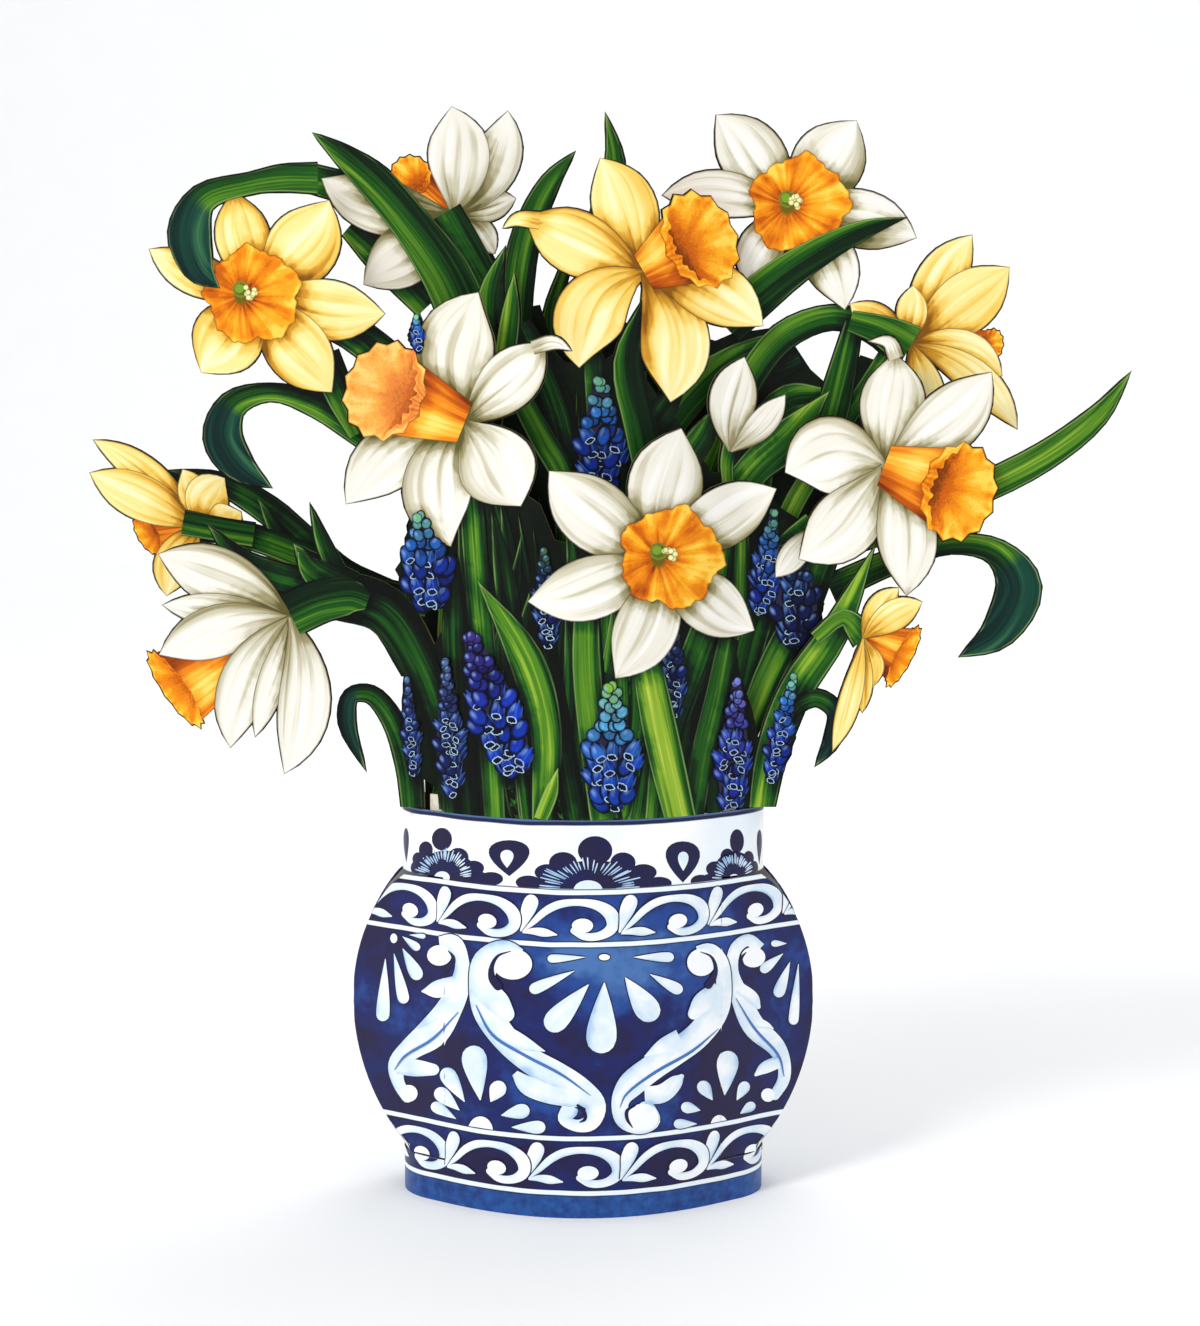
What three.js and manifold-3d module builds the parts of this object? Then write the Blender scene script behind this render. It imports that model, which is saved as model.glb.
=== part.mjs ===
// Potted daffodil bouquet: a pop-up arrangement of die-cut card layers, held one behind
// the other in a bowed card vase by four folded spacer strips.
// Lengths are millimetres. +Z is up, the front faces -Y, and the part stands on Z = 0.

import * as THREE from 'three';
import { mergeVertices } from 'three/addons/utils/BufferGeometryUtils.js';
import Module from 'manifold-3d';

const wasm = await Module();
wasm.setup();

// Card and clearances
const CARD = 0.6;
const GAP = 0.3;
const SLIT = 0.6;
const CUT_MARGIN = 0.35;

// Vase
const RIM = 111.5;
const NECK_FOOT = 93.1;
const FOOT_TOP = 12.2;
const SHOULDER_X = 38;
const SLIT_X = 38.6;
const RELAX_X = 39.2;
const SEAM_X = 51;
const CORNER_X = 44;
const BELLY_X = 66;
const BELLY_SEAM_X = 66.4;
const BELLY_MID = 54;
const BELLY_HALF = 39;
const BELLY_END_X = 49;
const BELLY_ROUND = 0.75;
const BELLY_STEPS = 12;
const CORNER_STEPS = 4;

// Layers: depth of the middle of each card, and how strongly it bows
const FRONT = { depth: 36, bow: 0.01 };
const SECOND = { depth: 22, bow: 0.0055 };
const THIRD = { depth: 11, bow: 0.0028 };
const MIDDLE = { depth: 0, bow: 0 };
const BOW_STEPS = 6;
const RELAX = 12.4;
const RELAX_STEPS = 4;
const WING_REACH = 175;

// Root panel of the inner layers, inside the vase
const ROOT_HALF = 43.3;
const ROOT_FOOT = 20;
const ROOT_TOP = 113.5;
const ROOT_LAP = 4;

// Spacer strips
const STRIP_X = 34;
const FLANGE_X = 43;
const WINDOW_X = STRIP_X - 0.6;
const CREASE_CLEAR = 0.5;
const UPPER_STRIP = [95, 116];
const LOWER_STRIP = [24, 40];

// Glue tabs: rows of the neck, the belly and the foot
const NECK_TAB = [97, 107];
const BELLY_TAB = [46, 62];
const FOOT_TAB = [2.5, 9.5];
const NOTCH = 0.25;
const SEAM_TAB_IN = 0.9;
const SEAM_TAB_END = [49.45, 7.5];
const BELLY_TAB_IN = 1.3;
const BELLY_TAB_FOLD = [64.1, 0.6];
const BELLY_TAB_TIP = [58.3, 5];

// The layers are drawn to line up from this point, on the plane of the middle card
const SIGHT = { x: 4.8, y: -800, z: 236 };

// The vase's axis stands this far left of the middle of the whole part
const AXIS_X = -8.5;

const CREAM = 0xf1ece2;
const BLUE = 0x2b4f93;

// Motifs of the layers, in the plane of the middle card as seen from the sight point.
// A leaf is a line of [x, z, width]. A petal is [tip x, tip z, width, sway] from the
// flower's heart, or from the point that follows. A curl is a petal's rolled tip. A spike
// of grape hyacinth is [tip x, tip z, foot x, foot z, width]. Leaves in over lie on top.

const FRONT_MOTIFS = {
  core: [
    [-41, 104], [-41, 114.5], [-46, 118], [-50.5, 132], [-47, 148], [-40, 160], [-37, 185], [-33, 203],
    [-22, 203], [-12, 196], [-8, 186], [20, 178], [42, 172], [43, 157], [44.5, 148], [48, 138], [51, 125],
    [51.5, 104],
  ],
  leaves: [
    [
      [-48.5, 106, 6], [-50, 122, 7], [-54.5, 135, 6], [-60.5, 142, 5], [-66, 141.5, 4.5], [-67.2, 134, 5],
      [-61.7, 119.5, 0],
    ],
    [[-11, 106, 7], [-10.5, 132, 9], [-16, 152, 10], [-30, 175, 0]],
    [[-12, 106, 4], [-9, 114, 4], [-7, 121, 0]],
    [[6, 106, 8], [3, 128, 8], [1, 150, 8], [1, 168, 7]],
    [[27.5, 106, 9], [22, 130, 10], [17, 155, 8]],
    [[50.5, 106, 7], [53.5, 124, 9], [60.5, 143, 9.5], [71.5, 160, 8], [83, 185, 0]],
    [[55.5, 128, 4], [60, 138, 5], [66.5, 141, 5], [72, 137, 5], [71, 129, 5], [66, 121, 0]],
    [[-46, 150, 12], [-56, 166, 13], [-70, 170, 13], [-83, 165, 13]],
    [[-66, 172, 10], [-76, 178, 8], [-82, 185, 0]],
    [[-66, 170, 5], [-73, 184, 4.5], [-77.3, 196.8, 0]],
    [[-70, 172, 9], [-84, 174.5, 9], [-96, 179.5, 7], [-106.3, 190.5, 0]],
    [[66, 158, 4], [74, 164, 5], [80, 158, 8]],
  ],
  spikes: [
    [-46, 193.5, -43, 168, 19], [-32, 160, -19, 120, 20], [8, 145, 8, 110, 20],
    [43.5, 146, 42, 110, 13.5], [60, 148, 53.5, 118, 9.5], [-50, 147.5, -48, 119, 7],
    [-38, 153, -37.5, 115, 9], [-46.5, 249, -46, 240, 6],
  ],
  flowers: [
    {
      heart: [-33, 219],
      petals: [
        [-29, 255.5, 22, 5], [-10.5, 241.5, 16, -0.5], [-67, 196, 18, -4], [-37, 184, 20, -6],
        [-17.3, 195.5, 22, 0.5],
      ],
      curls: [[[-14, 240, 4], [-8, 241.5, 4], [-2.8, 239, 0]]],
      trumpet: { foot: 12, mouth: [-55.5, 228], across: 29, deep: 24, turn: 20 },
    },
    {
      heart: [-83, 164],
      petals: [
        [-120.3, 182, 17, -1.5], [-119.5, 167.5, 10, 0], [-115, 161, 9, 0], [-120.5, 153.3, 15, -2],
        [-100.5, 126.5, 15, -4], [-93.5, 129.5, 8, 0], [-85.3, 119, 15, 5],
      ],
      trumpet: { foot: 8, mouth: [-116, 143.5], across: 27, deep: 7, turn: -34 },
    },
    {
      heart: [22, 181],
      petals: [
        [27.5, 217.5, 21, 2], [-9.5, 205.5, 20, 2], [-15.5, 168.5, 18, 2], [9, 146.5, 18, 3],
        [48.5, 160.3, 17, -2], [54.7, 200.5, 17, 1],
      ],
      trumpet: { foot: 8, mouth: [24.5, 181], across: 29, deep: 28, turn: 0 },
    },
    {
      heart: [85, 207],
      petals: [
        [87.5, 238.5, 18.5, -0.8], [115, 233.3, 18, -2.5], [57, 205, 22, -4], [61, 180.5, 19, 3],
        [91.7, 170, 17, 3],
      ],
      curls: [[[88, 237, 4.5], [86, 241.5, 4], [80, 241.8, 0]]],
      trumpet: { foot: 12, mouth: [106, 199.5], across: 29, deep: 22, turn: 12 },
    },
    {
      heart: [79.5, 158],
      petals: [
        [89.5, 172.5, 8, 1], [96.3, 168.5, 9, 1], [82.5, 144, 9, 0], [79.5, 136.5, 6, 0],
        [71, 125.5, 6.5, 1],
      ],
      trumpet: { foot: 7, mouth: [91, 152.8], across: 20, deep: 5, turn: 27 },
    },
  ],
};

const SECOND_MOTIFS = {
  core: [
    [-43, 108], [-43, 150], [-38, 165], [-31, 205], [-29, 238], [-20, 246], [-12, 243], [-5, 236], [5, 236],
    [12, 240], [20, 228], [30, 215], [36, 205], [47, 205], [56, 195], [67, 188], [70, 176], [66, 160],
    [56, 145], [46, 128], [43, 108],
  ],
  leaves: [
    [
      [-74, 287, 8.5], [-84, 287, 7.5], [-93, 285.5, 6], [-106, 281.5, 8], [-110, 272, 12],
      [-107.5, 262, 9], [-101.5, 256.5, 0],
    ],
    [
      [-38, 203, 8], [-50, 208, 7], [-60, 214, 7], [-75, 224, 7], [-88, 227.5, 5], [-98.5, 224, 8],
      [-101.5, 215, 11], [-97, 207, 9], [-87.5, 200.5, 0],
    ],
    [[56, 180, 9], [80, 187.5, 8.5], [108, 198.5, 8.5], [130, 209.5, 8], [145, 221, 6], [154.3, 233.6, 0]],
    [
      [70, 172, 8], [88, 180, 7], [104, 184.8, 5.5], [117, 182.5, 7.5], [123.5, 172.5, 13], [118, 160, 10],
      [106.5, 152.5, 0],
    ],
    [[-27, 222, 9], [-25, 240, 9], [-25.5, 255, 7], [-21.5, 268.5, 0]],
    [[-22, 235, 6], [-20, 250, 5], [-19, 261.5, 0]],
    [[40, 196, 9], [49, 207, 10], [57, 214, 11], [69.5, 228, 0]],
    [[41, 200, 3], [40.5, 208, 4], [43, 216, 6]],
    [[-63, 216, 6], [-68, 226, 8], [-73, 238, 9]],
    [[-50, 236, 5], [-57, 241, 6], [-66, 247, 7]],
    [[-33, 200, 6], [-48, 222, 6], [-62, 240, 6], [-80, 250, 6]],
    [[52, 150, 8], [62, 166, 9], [68, 182, 9]],
  ],
  spikes: [
    [5, 231, 5, 200, 18], [-10, 187, -7, 157, 9], [54, 194, 50, 165, 12], [61, 184, 60, 157, 17],
    [25, 165, 25, 137, 9],
  ],
  flowers: [
    {
      heart: [17, 261],
      petals: [
        [4.8, 292.7, 18, -1.5], [-16, 276.5, 18, 0.5], [-1, 234.3, 20, -6], [24.5, 224.7, 20, 4.5],
        [50.7, 246, 17, 3],
      ],
      curls: [[[-12, 275.3, 5], [-18, 275.7, 4], [-22.5, 273, 0]]],
      trumpet: { foot: 11, mouth: [32.5, 270], across: 29, deep: 21, turn: -25 },
    },
    {
      heart: [-91, 255],
      petals: [
        [-97.5, 283.5, 15.5, 0.5], [-70.8, 281, 20, -2], [-55.3, 249.5, 17, -1.5], [-70.5, 227.5, 18, -0.5],
        [-107.3, 233, 20, 0.3], [-121.5, 267.5, 12, 1.5],
      ],
      trumpet: { foot: 8, mouth: [-92.5, 254.5], across: 27, deep: 26, turn: 0 },
    },
    { heart: [41.5, 211], petals: [[45.3, 237.5, 13.5, 1.5], [57, 227, 8, -1]] },
    { heart: [66, 190], petals: [[54.5, 175.3, 8, 0]] },
  ],
  over: [[[20, 200, 9], [16, 218, 9], [12.5, 236, 8], [16.5, 253.5, 0]]],
};

const THIRD_MOTIFS = {
  core: [
    [-43, 108], [-40, 160], [-38, 205], [-33, 240], [-24, 250], [-12, 252], [-8, 240], [10, 236], [28, 238],
    [42, 244], [56, 246], [64, 234], [73, 226], [78, 238], [84, 236], [82, 216], [74, 196], [62, 170],
    [48, 140], [43, 108],
  ],
  leaves: [
    [[36, 205, 8], [45, 228, 8], [56, 243, 8], [70, 248.5, 7], [81, 245.5, 8], [91, 240, 12]],
    [[66, 205, 9], [71, 225, 9], [76, 247, 5]],
    [[-19, 238, 9], [-18.5, 256, 9], [-15.5, 272, 8], [-9, 286, 5.5], [-1.8, 294.7, 0]],
  ],
  spikes: [],
  flowers: [
    {
      heart: [58, 278],
      petals: [
        [37, 304.5, 18, -1], [76.3, 303, 20, -0.5], [93.5, 270.5, 16, 2], [73.5, 250.5, 15, 3],
        [46, 257, 13, -2], [22, 282.3, 13, -2.5],
      ],
      trumpet: { foot: 8, mouth: [60.5, 279.5], across: 28, deep: 27, turn: 0 },
    },
    {
      heart: [92, 241],
      petals: [
        [109, 271.5, 14, 1.5], [119.5, 262.5, 17, -0.5], [92.5, 257.5, 9, 0], [74.8, 252.3, 10, 0],
        [118, 232, 12, 3], [122.5, 217, 10, 4], [100, 219, 10, 0],
      ],
      trumpet: { foot: 8, mouth: [114.5, 240.5], across: 10, deep: 7, turn: 15 },
    },
  ],
  over: [
    [[40, 246, 11], [48.5, 254, 11.5], [58, 261.5, 10], [70, 268.8, 7.5], [80, 273.3, 5], [91, 276.3, 0]],
  ],
};

const MIDDLE_MOTIFS = {
  core: [
    [-43, 108], [-46, 160], [-50, 190], [-40, 215], [-36, 240], [-26, 252], [-10, 250], [20, 246],
    [46, 240], [66, 220], [70, 190], [54, 150], [43, 108],
  ],
  leaves: [
    [[-1, 246, 8], [3, 264, 8], [7, 281, 8], [9, 292, 5.5], [6.2, 305.5, 0]],
    [[-54, 170, 8], [-68, 176, 9], [-78, 185, 8], [-89, 194.5, 8], [-102, 202, 6], [-117.5, 205.8, 0]],
    [[-78, 178, 6], [-86, 188, 5], [-92, 198, 0]],
    [[-44, 264, 8], [-58, 281, 9], [-76, 287, 8]],
    [[-20, 246, 9], [-29, 262, 10], [-37, 276, 11]],
    [[-44, 168, 8], [-60, 172, 8], [-80, 182, 8], [-98, 188, 7], [-112, 190, 8]],
    [[-43, 252, 9], [-56, 266, 11], [-65, 274, 7]],
    [[-8, 240, 7], [-8.5, 250, 5], [-5, 262, 3]],
  ],
  spikes: [],
  flowers: [
    {
      heart: [-36, 277],
      petals: [
        [-73, 287, 16, 3], [-61.5, 257.5, 17, 0.5], [-24.5, 266, 9, 1], [-18.5, 281.5, 9, 0],
        [-20.8, 305.7, 14, -3.5], [-36.5, 306.8, 17.5, -1.8],
      ],
      trumpet: { foot: 7, mouth: [-48, 287.5], across: 12, deep: 12, turn: 60 },
    },
    {
      heart: [-108, 190],
      petals: [
        [-138.2, 214.3, 9, -2], [-139.3, 205, 13, 0], [-113, 206, 9, -1], [-101, 203.5, 13, 2],
        [-96.5, 194, 11, -1], [-118, 170, 12, -2],
      ],
      trumpet: { foot: 7, mouth: [-123, 187.5], across: 13, deep: 6, turn: -30 },
    },
  ],
  over: [
    [[-31, 243, 14], [-38, 260, 14], [-48.5, 275, 11], [-58, 286, 10], [-67, 293.5, 6], [-75.5, 299.7, 0]],
  ],
};

const PETAL_STEPS = 12;
const PETAL_FOOT = 0.12;
const POINT_FROM = 0.8;
const POINT_PINCH = 1.5;
const LEAF_STEPS = 4;
const LEAF_THINNEST = 0.8;
const FRILL_LOBES = 13;
const FRILL_DIP = 0.9;
const SPIKE_STEPS = 6;
const SPIKE_DIP = 0.88;
const TUBE_SPREAD = 0.44;

// Outlines of the motifs

// Closes a band from its middle line and half widths.
function band(line, half) {
  const left = [];
  const right = [];
  line.forEach(([x, z], i) => {
    const [ax, az] = line[Math.max(i - 1, 0)];
    const [bx, bz] = line[Math.min(i + 1, line.length - 1)];
    const length = Math.hypot(bx - ax, bz - az);
    const nx = -(bz - az) / length;
    const nz = (bx - ax) / length;
    left.push([x + nx * half[i], z + nz * half[i]]);
    right.push([x - nx * half[i], z - nz * half[i]]);
  });
  if (half[half.length - 1] < CUT_MARGIN / 2) right.pop();
  return [...left, ...right.reverse()];
}

// A petal's half width, from its heart at 0 to its pointed tip at 1.
function petalWidth(t) {
  const pinch = 1 - POINT_PINCH * Math.max(0, t - POINT_FROM);
  return Math.sin(Math.PI * t ** 1.15) ** 0.72 * pinch;
}

function petal(heart, [tx, tz, width, sway, fromX, fromZ]) {
  const [hx, hz] = fromX === undefined ? heart : [fromX, fromZ];
  const length = Math.hypot(tx - hx, tz - hz);
  const nx = -(tz - hz) / length;
  const nz = (tx - hx) / length;
  const line = [];
  const half = [];
  for (let i = 0; i <= PETAL_STEPS; i += 1) {
    const t = i / PETAL_STEPS;
    const bow = 4 * t * (1 - t) * sway;
    line.push([hx + (tx - hx) * t + nx * bow, hz + (tz - hz) * t + nz * bow]);
    half.push(i === PETAL_STEPS ? 0 : (width / 2) * Math.max(petalWidth(t), PETAL_FOOT) + CUT_MARGIN);
  }
  return band(line, half);
}

function leaf(points) {
  const knots = points.map(([x, z, width]) => new THREE.Vector3(x, z, width));
  const curve = new THREE.CatmullRomCurve3(knots, false, 'centripetal');
  const count = LEAF_STEPS * (points.length - 1);
  const line = curve.getPoints(count);
  const pointed = points[points.length - 1][2] === 0;
  const half = line.map(({ z: width }, i) => (
    pointed && i === count ? 0 : Math.max(width, LEAF_THINNEST) / 2 + CUT_MARGIN
  ));
  return band(line.map(({ x, y }) => [x, y]), half);
}

// A spike's half width, from its tip at 0 to its foot at 1.
function spikeWidth(t) {
  return Math.min(Math.sin(Math.PI * (0.12 + 0.8 * t)) ** 0.5, 0.22 + 1.2 * t);
}

// A spike narrows to its tip and has a scalloped edge of florets.
function spike([tipX, tipZ, footX, footZ, width]) {
  const line = [];
  const half = [];
  for (let i = 0; i <= 2 * SPIKE_STEPS; i += 1) {
    const t = i / (2 * SPIKE_STEPS);
    const round = spikeWidth(t) * (i % 2 ? 1 : SPIKE_DIP);
    line.push([tipX + (footX - tipX) * t, tipZ + (footZ - tipZ) * t]);
    half.push((width / 2) * round + CUT_MARGIN);
  }
  return band(line, half);
}

// The frilled rim of a trumpet; turn leans its top to the right, in degrees.
function frill({ mouth: [x, z], across, deep, turn }) {
  const angle = THREE.MathUtils.degToRad(turn);
  const outline = [];
  for (let i = 0; i < 2 * FRILL_LOBES; i += 1) {
    const a = (Math.PI * i) / FRILL_LOBES;
    const swell = (i % 2 ? 1 : FRILL_DIP) / 2;
    const corner = new THREE.Vector2(deep * swell + CUT_MARGIN, across * swell + CUT_MARGIN);
    corner.x *= Math.cos(a);
    corner.y *= Math.sin(a);
    corner.rotateAround(new THREE.Vector2(), -angle);
    outline.push([x + corner.x, z + corner.y]);
  }
  return outline;
}

// The tube of a trumpet runs from the heart to the two ends of its mouth.
function tube([hx, hz], { foot, mouth: [mx, mz], across }) {
  const length = Math.hypot(mx - hx, mz - hz);
  const nx = -(mz - hz) / length;
  const nz = (mx - hx) / length;
  const wide = across * TUBE_SPREAD;
  return [
    [hx + (nx * foot) / 2, hz + (nz * foot) / 2], [mx + nx * wide, mz + nz * wide],
    [mx - nx * wide, mz - nz * wide], [hx - (nx * foot) / 2, hz - (nz * foot) / 2],
  ];
}

function motifOutlines({ core, leaves, spikes, flowers, over = [] }) {
  const outlines = [core, ...leaves.map(leaf), ...spikes.map(spike), ...over.map(leaf)];
  flowers.forEach(({ heart, petals, curls = [], trumpet }) => {
    petals.forEach((shape) => outlines.push(petal(heart, shape)));
    outlines.push(...curls.map(leaf));
    if (trumpet) outlines.push(tube(heart, trumpet), frill(trumpet));
  });
  return outlines;
}

// Cross-sections: half profiles [x, y] from the middle outwards, for the front half

function bowedMiddle({ depth, bow }) {
  if (bow === 0) return [[0, -depth], [SHOULDER_X, -depth]];
  const points = [];
  for (let i = 0; i <= BOW_STEPS; i += 1) {
    const x = (SHOULDER_X * i) / BOW_STEPS;
    points.push([x, bow * x * x - depth]);
  }
  return points;
}

function spraySection(layer) {
  const points = bowedMiddle(layer);
  const slope = 2 * layer.bow * SHOULDER_X;
  const start = layer.bow * SHOULDER_X ** 2 - layer.depth + slope * (RELAX_X - SHOULDER_X);
  if (slope > 0) {
    for (let i = 0; i <= RELAX_STEPS; i += 1) {
      const u = (RELAX * i) / RELAX_STEPS;
      points.push([RELAX_X + u, start + slope * (u - u ** 2 / (2 * RELAX))]);
    }
  }
  points.push([WING_REACH, points[points.length - 1][1]]);
  return points;
}

// The neck and the foot turn back to the seam at the sides, where the two vase cards meet.
function cornerSection(end) {
  const points = bowedMiddle(FRONT);
  const slope = 2 * FRONT.bow * SHOULDER_X;
  const lean = Math.atan(slope);
  const radius = (SEAM_X - CORNER_X) / (1 - Math.sin(lean));
  const cornerY = FRONT.bow * SHOULDER_X ** 2 - FRONT.depth + slope * (CORNER_X - SHOULDER_X);
  for (let i = 0; i <= CORNER_STEPS; i += 1) {
    const a = lean + ((Math.PI / 2 - lean) * i) / CORNER_STEPS;
    const x = CORNER_X + radius * (Math.sin(a) - Math.sin(lean));
    points.push([x, cornerY + radius * (Math.cos(lean) - Math.cos(a))]);
  }
  points.push(...end);
  return points;
}

function bellySection(end) {
  return [...bowedMiddle(FRONT), ...end];
}

function bellyY(x) {
  return -(BELLY_SEAM_X - x) * 2 * FRONT.bow * SHOULDER_X;
}

const SEAM_END = [[SEAM_X, -CUT_MARGIN]];
const SEAM_TAB = [[SEAM_X, -1], [SEAM_X - SEAM_TAB_IN, -0.2], [SEAM_X - SEAM_TAB_IN, 3.2], SEAM_TAB_END];
const BELLY_TAB_START = [BELLY_X - BELLY_TAB_IN, bellyY(BELLY_X - BELLY_TAB_IN)];
const BELLY_TAB_END = [BELLY_TAB_START, BELLY_TAB_FOLD, BELLY_TAB_TIP];

const WALL = cornerSection(SEAM_END);
const WALL_TAB = cornerSection(SEAM_TAB);
const BELLY = bellySection([[BELLY_X, bellyY(BELLY_X)]]);
const BELLY_WITH_TAB = bellySection(BELLY_TAB_END);

// Distance along a section to each of its points.
function runs(section) {
  const lengths = [0];
  for (let i = 1; i < section.length; i += 1) {
    const [ax, ay] = section[i - 1];
    const [bx, by] = section[i];
    lengths.push(lengths[i - 1] + Math.hypot(bx - ax, by - ay));
  }
  return lengths;
}

function runAtX(section, x) {
  const lengths = runs(section);
  const i = Math.max(1, section.findIndex((point) => point[0] >= x));
  const part = (x - section[i - 1][0]) / (section[i][0] - section[i - 1][0]);
  return lengths[i - 1] + part * (lengths[i] - lengths[i - 1]);
}

function depthAtX(section, x) {
  const i = Math.max(1, section.findIndex((point) => point[0] >= x));
  const part = (x - section[i - 1][0]) / (section[i][0] - section[i - 1][0]);
  return section[i - 1][1] + part * (section[i][1] - section[i - 1][1]);
}

const SLIT_RUN = runAtX(WALL, SLIT_X);

// A point drawn on the plane of the middle card, moved to its place on a layer's flat sheet.
function toSheet(section, side, [seenX, seenZ]) {
  let x = seenX;
  let scale = 1;
  for (let i = 0; i < 8; i += 1) {
    scale = 1 + (side * depthAtX(section, Math.abs(x))) / -SIGHT.y;
    x = SIGHT.x + (seenX - SIGHT.x) * scale;
  }
  return [Math.sign(x) * runAtX(section, Math.abs(x)), SIGHT.z + (seenZ - SIGHT.z) * scale];
}

// Flat cutting: prisms of the sheet's thickness are joined and cut, then folded into shape

function solidFrom(geometry) {
  geometry.deleteAttribute('normal');
  geometry.deleteAttribute('uv');
  const merged = mergeVertices(geometry, 1e-4);
  return new wasm.Manifold(new wasm.Mesh({
    numProp: 3,
    vertProperties: new Float32Array(merged.attributes.position.array),
    triVerts: new Uint32Array(merged.index.array),
  }));
}

function prism(outline) {
  const shape = new THREE.Shape(outline.map(([x, z]) => new THREE.Vector2(x, z)));
  return solidFrom(new THREE.ExtrudeGeometry(shape, { depth: 1, bevelEnabled: false }));
}

function slab(left, right, bottom, top) {
  return prism([[left, bottom], [right, bottom], [right, top], [left, top]]);
}

function joined(solids) {
  return solids.reduce((whole, solid) => whole.add(solid));
}

// The vertices and triangles of a prism's upper face.
function capTriangles(solid) {
  const { vertProperties, triVerts, numProp } = solid.getMesh();
  const triangles = [];
  for (let i = 0; i < triVerts.length; i += 3) {
    const corners = [0, 1, 2].map((k) => {
      const at = triVerts[i + k] * numProp;
      return [vertProperties[at], vertProperties[at + 1], vertProperties[at + 2]];
    });
    if (corners.every((corner) => corner[2] > 0.5)) triangles.push(corners.map(([s, z]) => [s, z]));
  }
  return triangles;
}

// The outlines and holes of a flat sheet, walked along the edges that only one triangle has.
function loopsOf(triangles) {
  const key = ([s, z]) => `${s.toFixed(4)},${z.toFixed(4)}`;
  const next = new Map();
  triangles.forEach((triangle) => triangle.forEach((corner, k) => {
    next.set(`${key(corner)}>${key(triangle[(k + 1) % 3])}`, [corner, triangle[(k + 1) % 3]]);
  }));
  const rim = new Map();
  next.forEach(([from, to]) => {
    if (!next.has(`${key(to)}>${key(from)}`)) rim.set(key(from), [from, key(to)]);
  });
  const loops = [];
  while (rim.size) {
    const loop = [];
    let at = rim.keys().next().value;
    while (rim.has(at)) {
      const [point, after] = rim.get(at);
      rim.delete(at);
      loop.push(point);
      at = after;
    }
    loops.push(loop);
  }
  return loops;
}

function area(loop) {
  return THREE.ShapeUtils.area(loop.map(([x, y]) => ({ x, y })));
}

// Drops each point that lies within a tolerance of the line between its kept neighbours.
function simplified(loop, tolerance) {
  const keep = [];
  loop.forEach((point, i) => {
    const before = keep.length ? keep[keep.length - 1] : loop[loop.length - 1];
    const after = loop[(i + 1) % loop.length];
    const length = Math.hypot(after[0] - before[0], after[1] - before[1]);
    const across = [(after[0] - before[0]) / length, (after[1] - before[1]) / length];
    const away = across[0] * (point[1] - before[1]) - across[1] * (point[0] - before[0]);
    if (!(Math.abs(away) < tolerance)) keep.push(point);
  });
  return keep;
}

const WELD = 2e-2;
const SMALLEST_HOLE = 7;
const SMALLEST_SCRAP = 200;
const OUTLINE_TOLERANCE = 0.06;

// Closes the pinholes between motifs and drops loose scraps.
function cleaned(solid) {
  const loops = loopsOf(capTriangles(solid)).map((loop) => simplified(loop, OUTLINE_TOLERANCE));
  const outer = loops.filter((loop) => area(loop) > SMALLEST_SCRAP);
  const holes = loops.filter((loop) => area(loop) < -SMALLEST_HOLE);
  const sheet = joined(outer.map(prism));
  return holes.reduce((whole, hole) => whole.subtract(prism(hole)), sheet);
}

// Settles the corners on each crease and splits the triangles beside it at every one of them.
function matchCreases(triangles, lines) {
  lines.forEach((line) => {
    const onLine = ([s]) => Math.abs(s - line) < WELD;
    const corners = triangles.flat().filter(onLine).sort((a, b) => a[1] - b[1]);
    corners.forEach((corner, i) => {
      corner[0] = line;
      if (i && corner[1] - corners[i - 1][1] < WELD) corner[1] = corners[i - 1][1];
    });
    const heights = [...new Set(corners.map(([, z]) => z))];
    for (let i = triangles.length - 1; i >= 0; i -= 1) {
      const triangle = triangles[i];
      const k = [0, 1, 2].find((n) => onLine(triangle[n]) && onLine(triangle[(n + 1) % 3]));
      if (k === undefined) continue;
      const [from, to, apex] = [0, 1, 2].map((n) => triangle[(k + n) % 3]);
      const low = Math.min(from[1], to[1]);
      const high = Math.max(from[1], to[1]);
      const between = heights.filter((z) => z > low && z < high);
      if (to[1] < from[1]) between.reverse();
      const points = [from, ...between.map((z) => [line, z]), to];
      const fan = points.slice(1).map((point, n) => [points[n], point, apex]);
      triangles.splice(i, 1, ...(onLine(apex) || low === high ? [] : fan));
    }
  });
}

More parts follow.
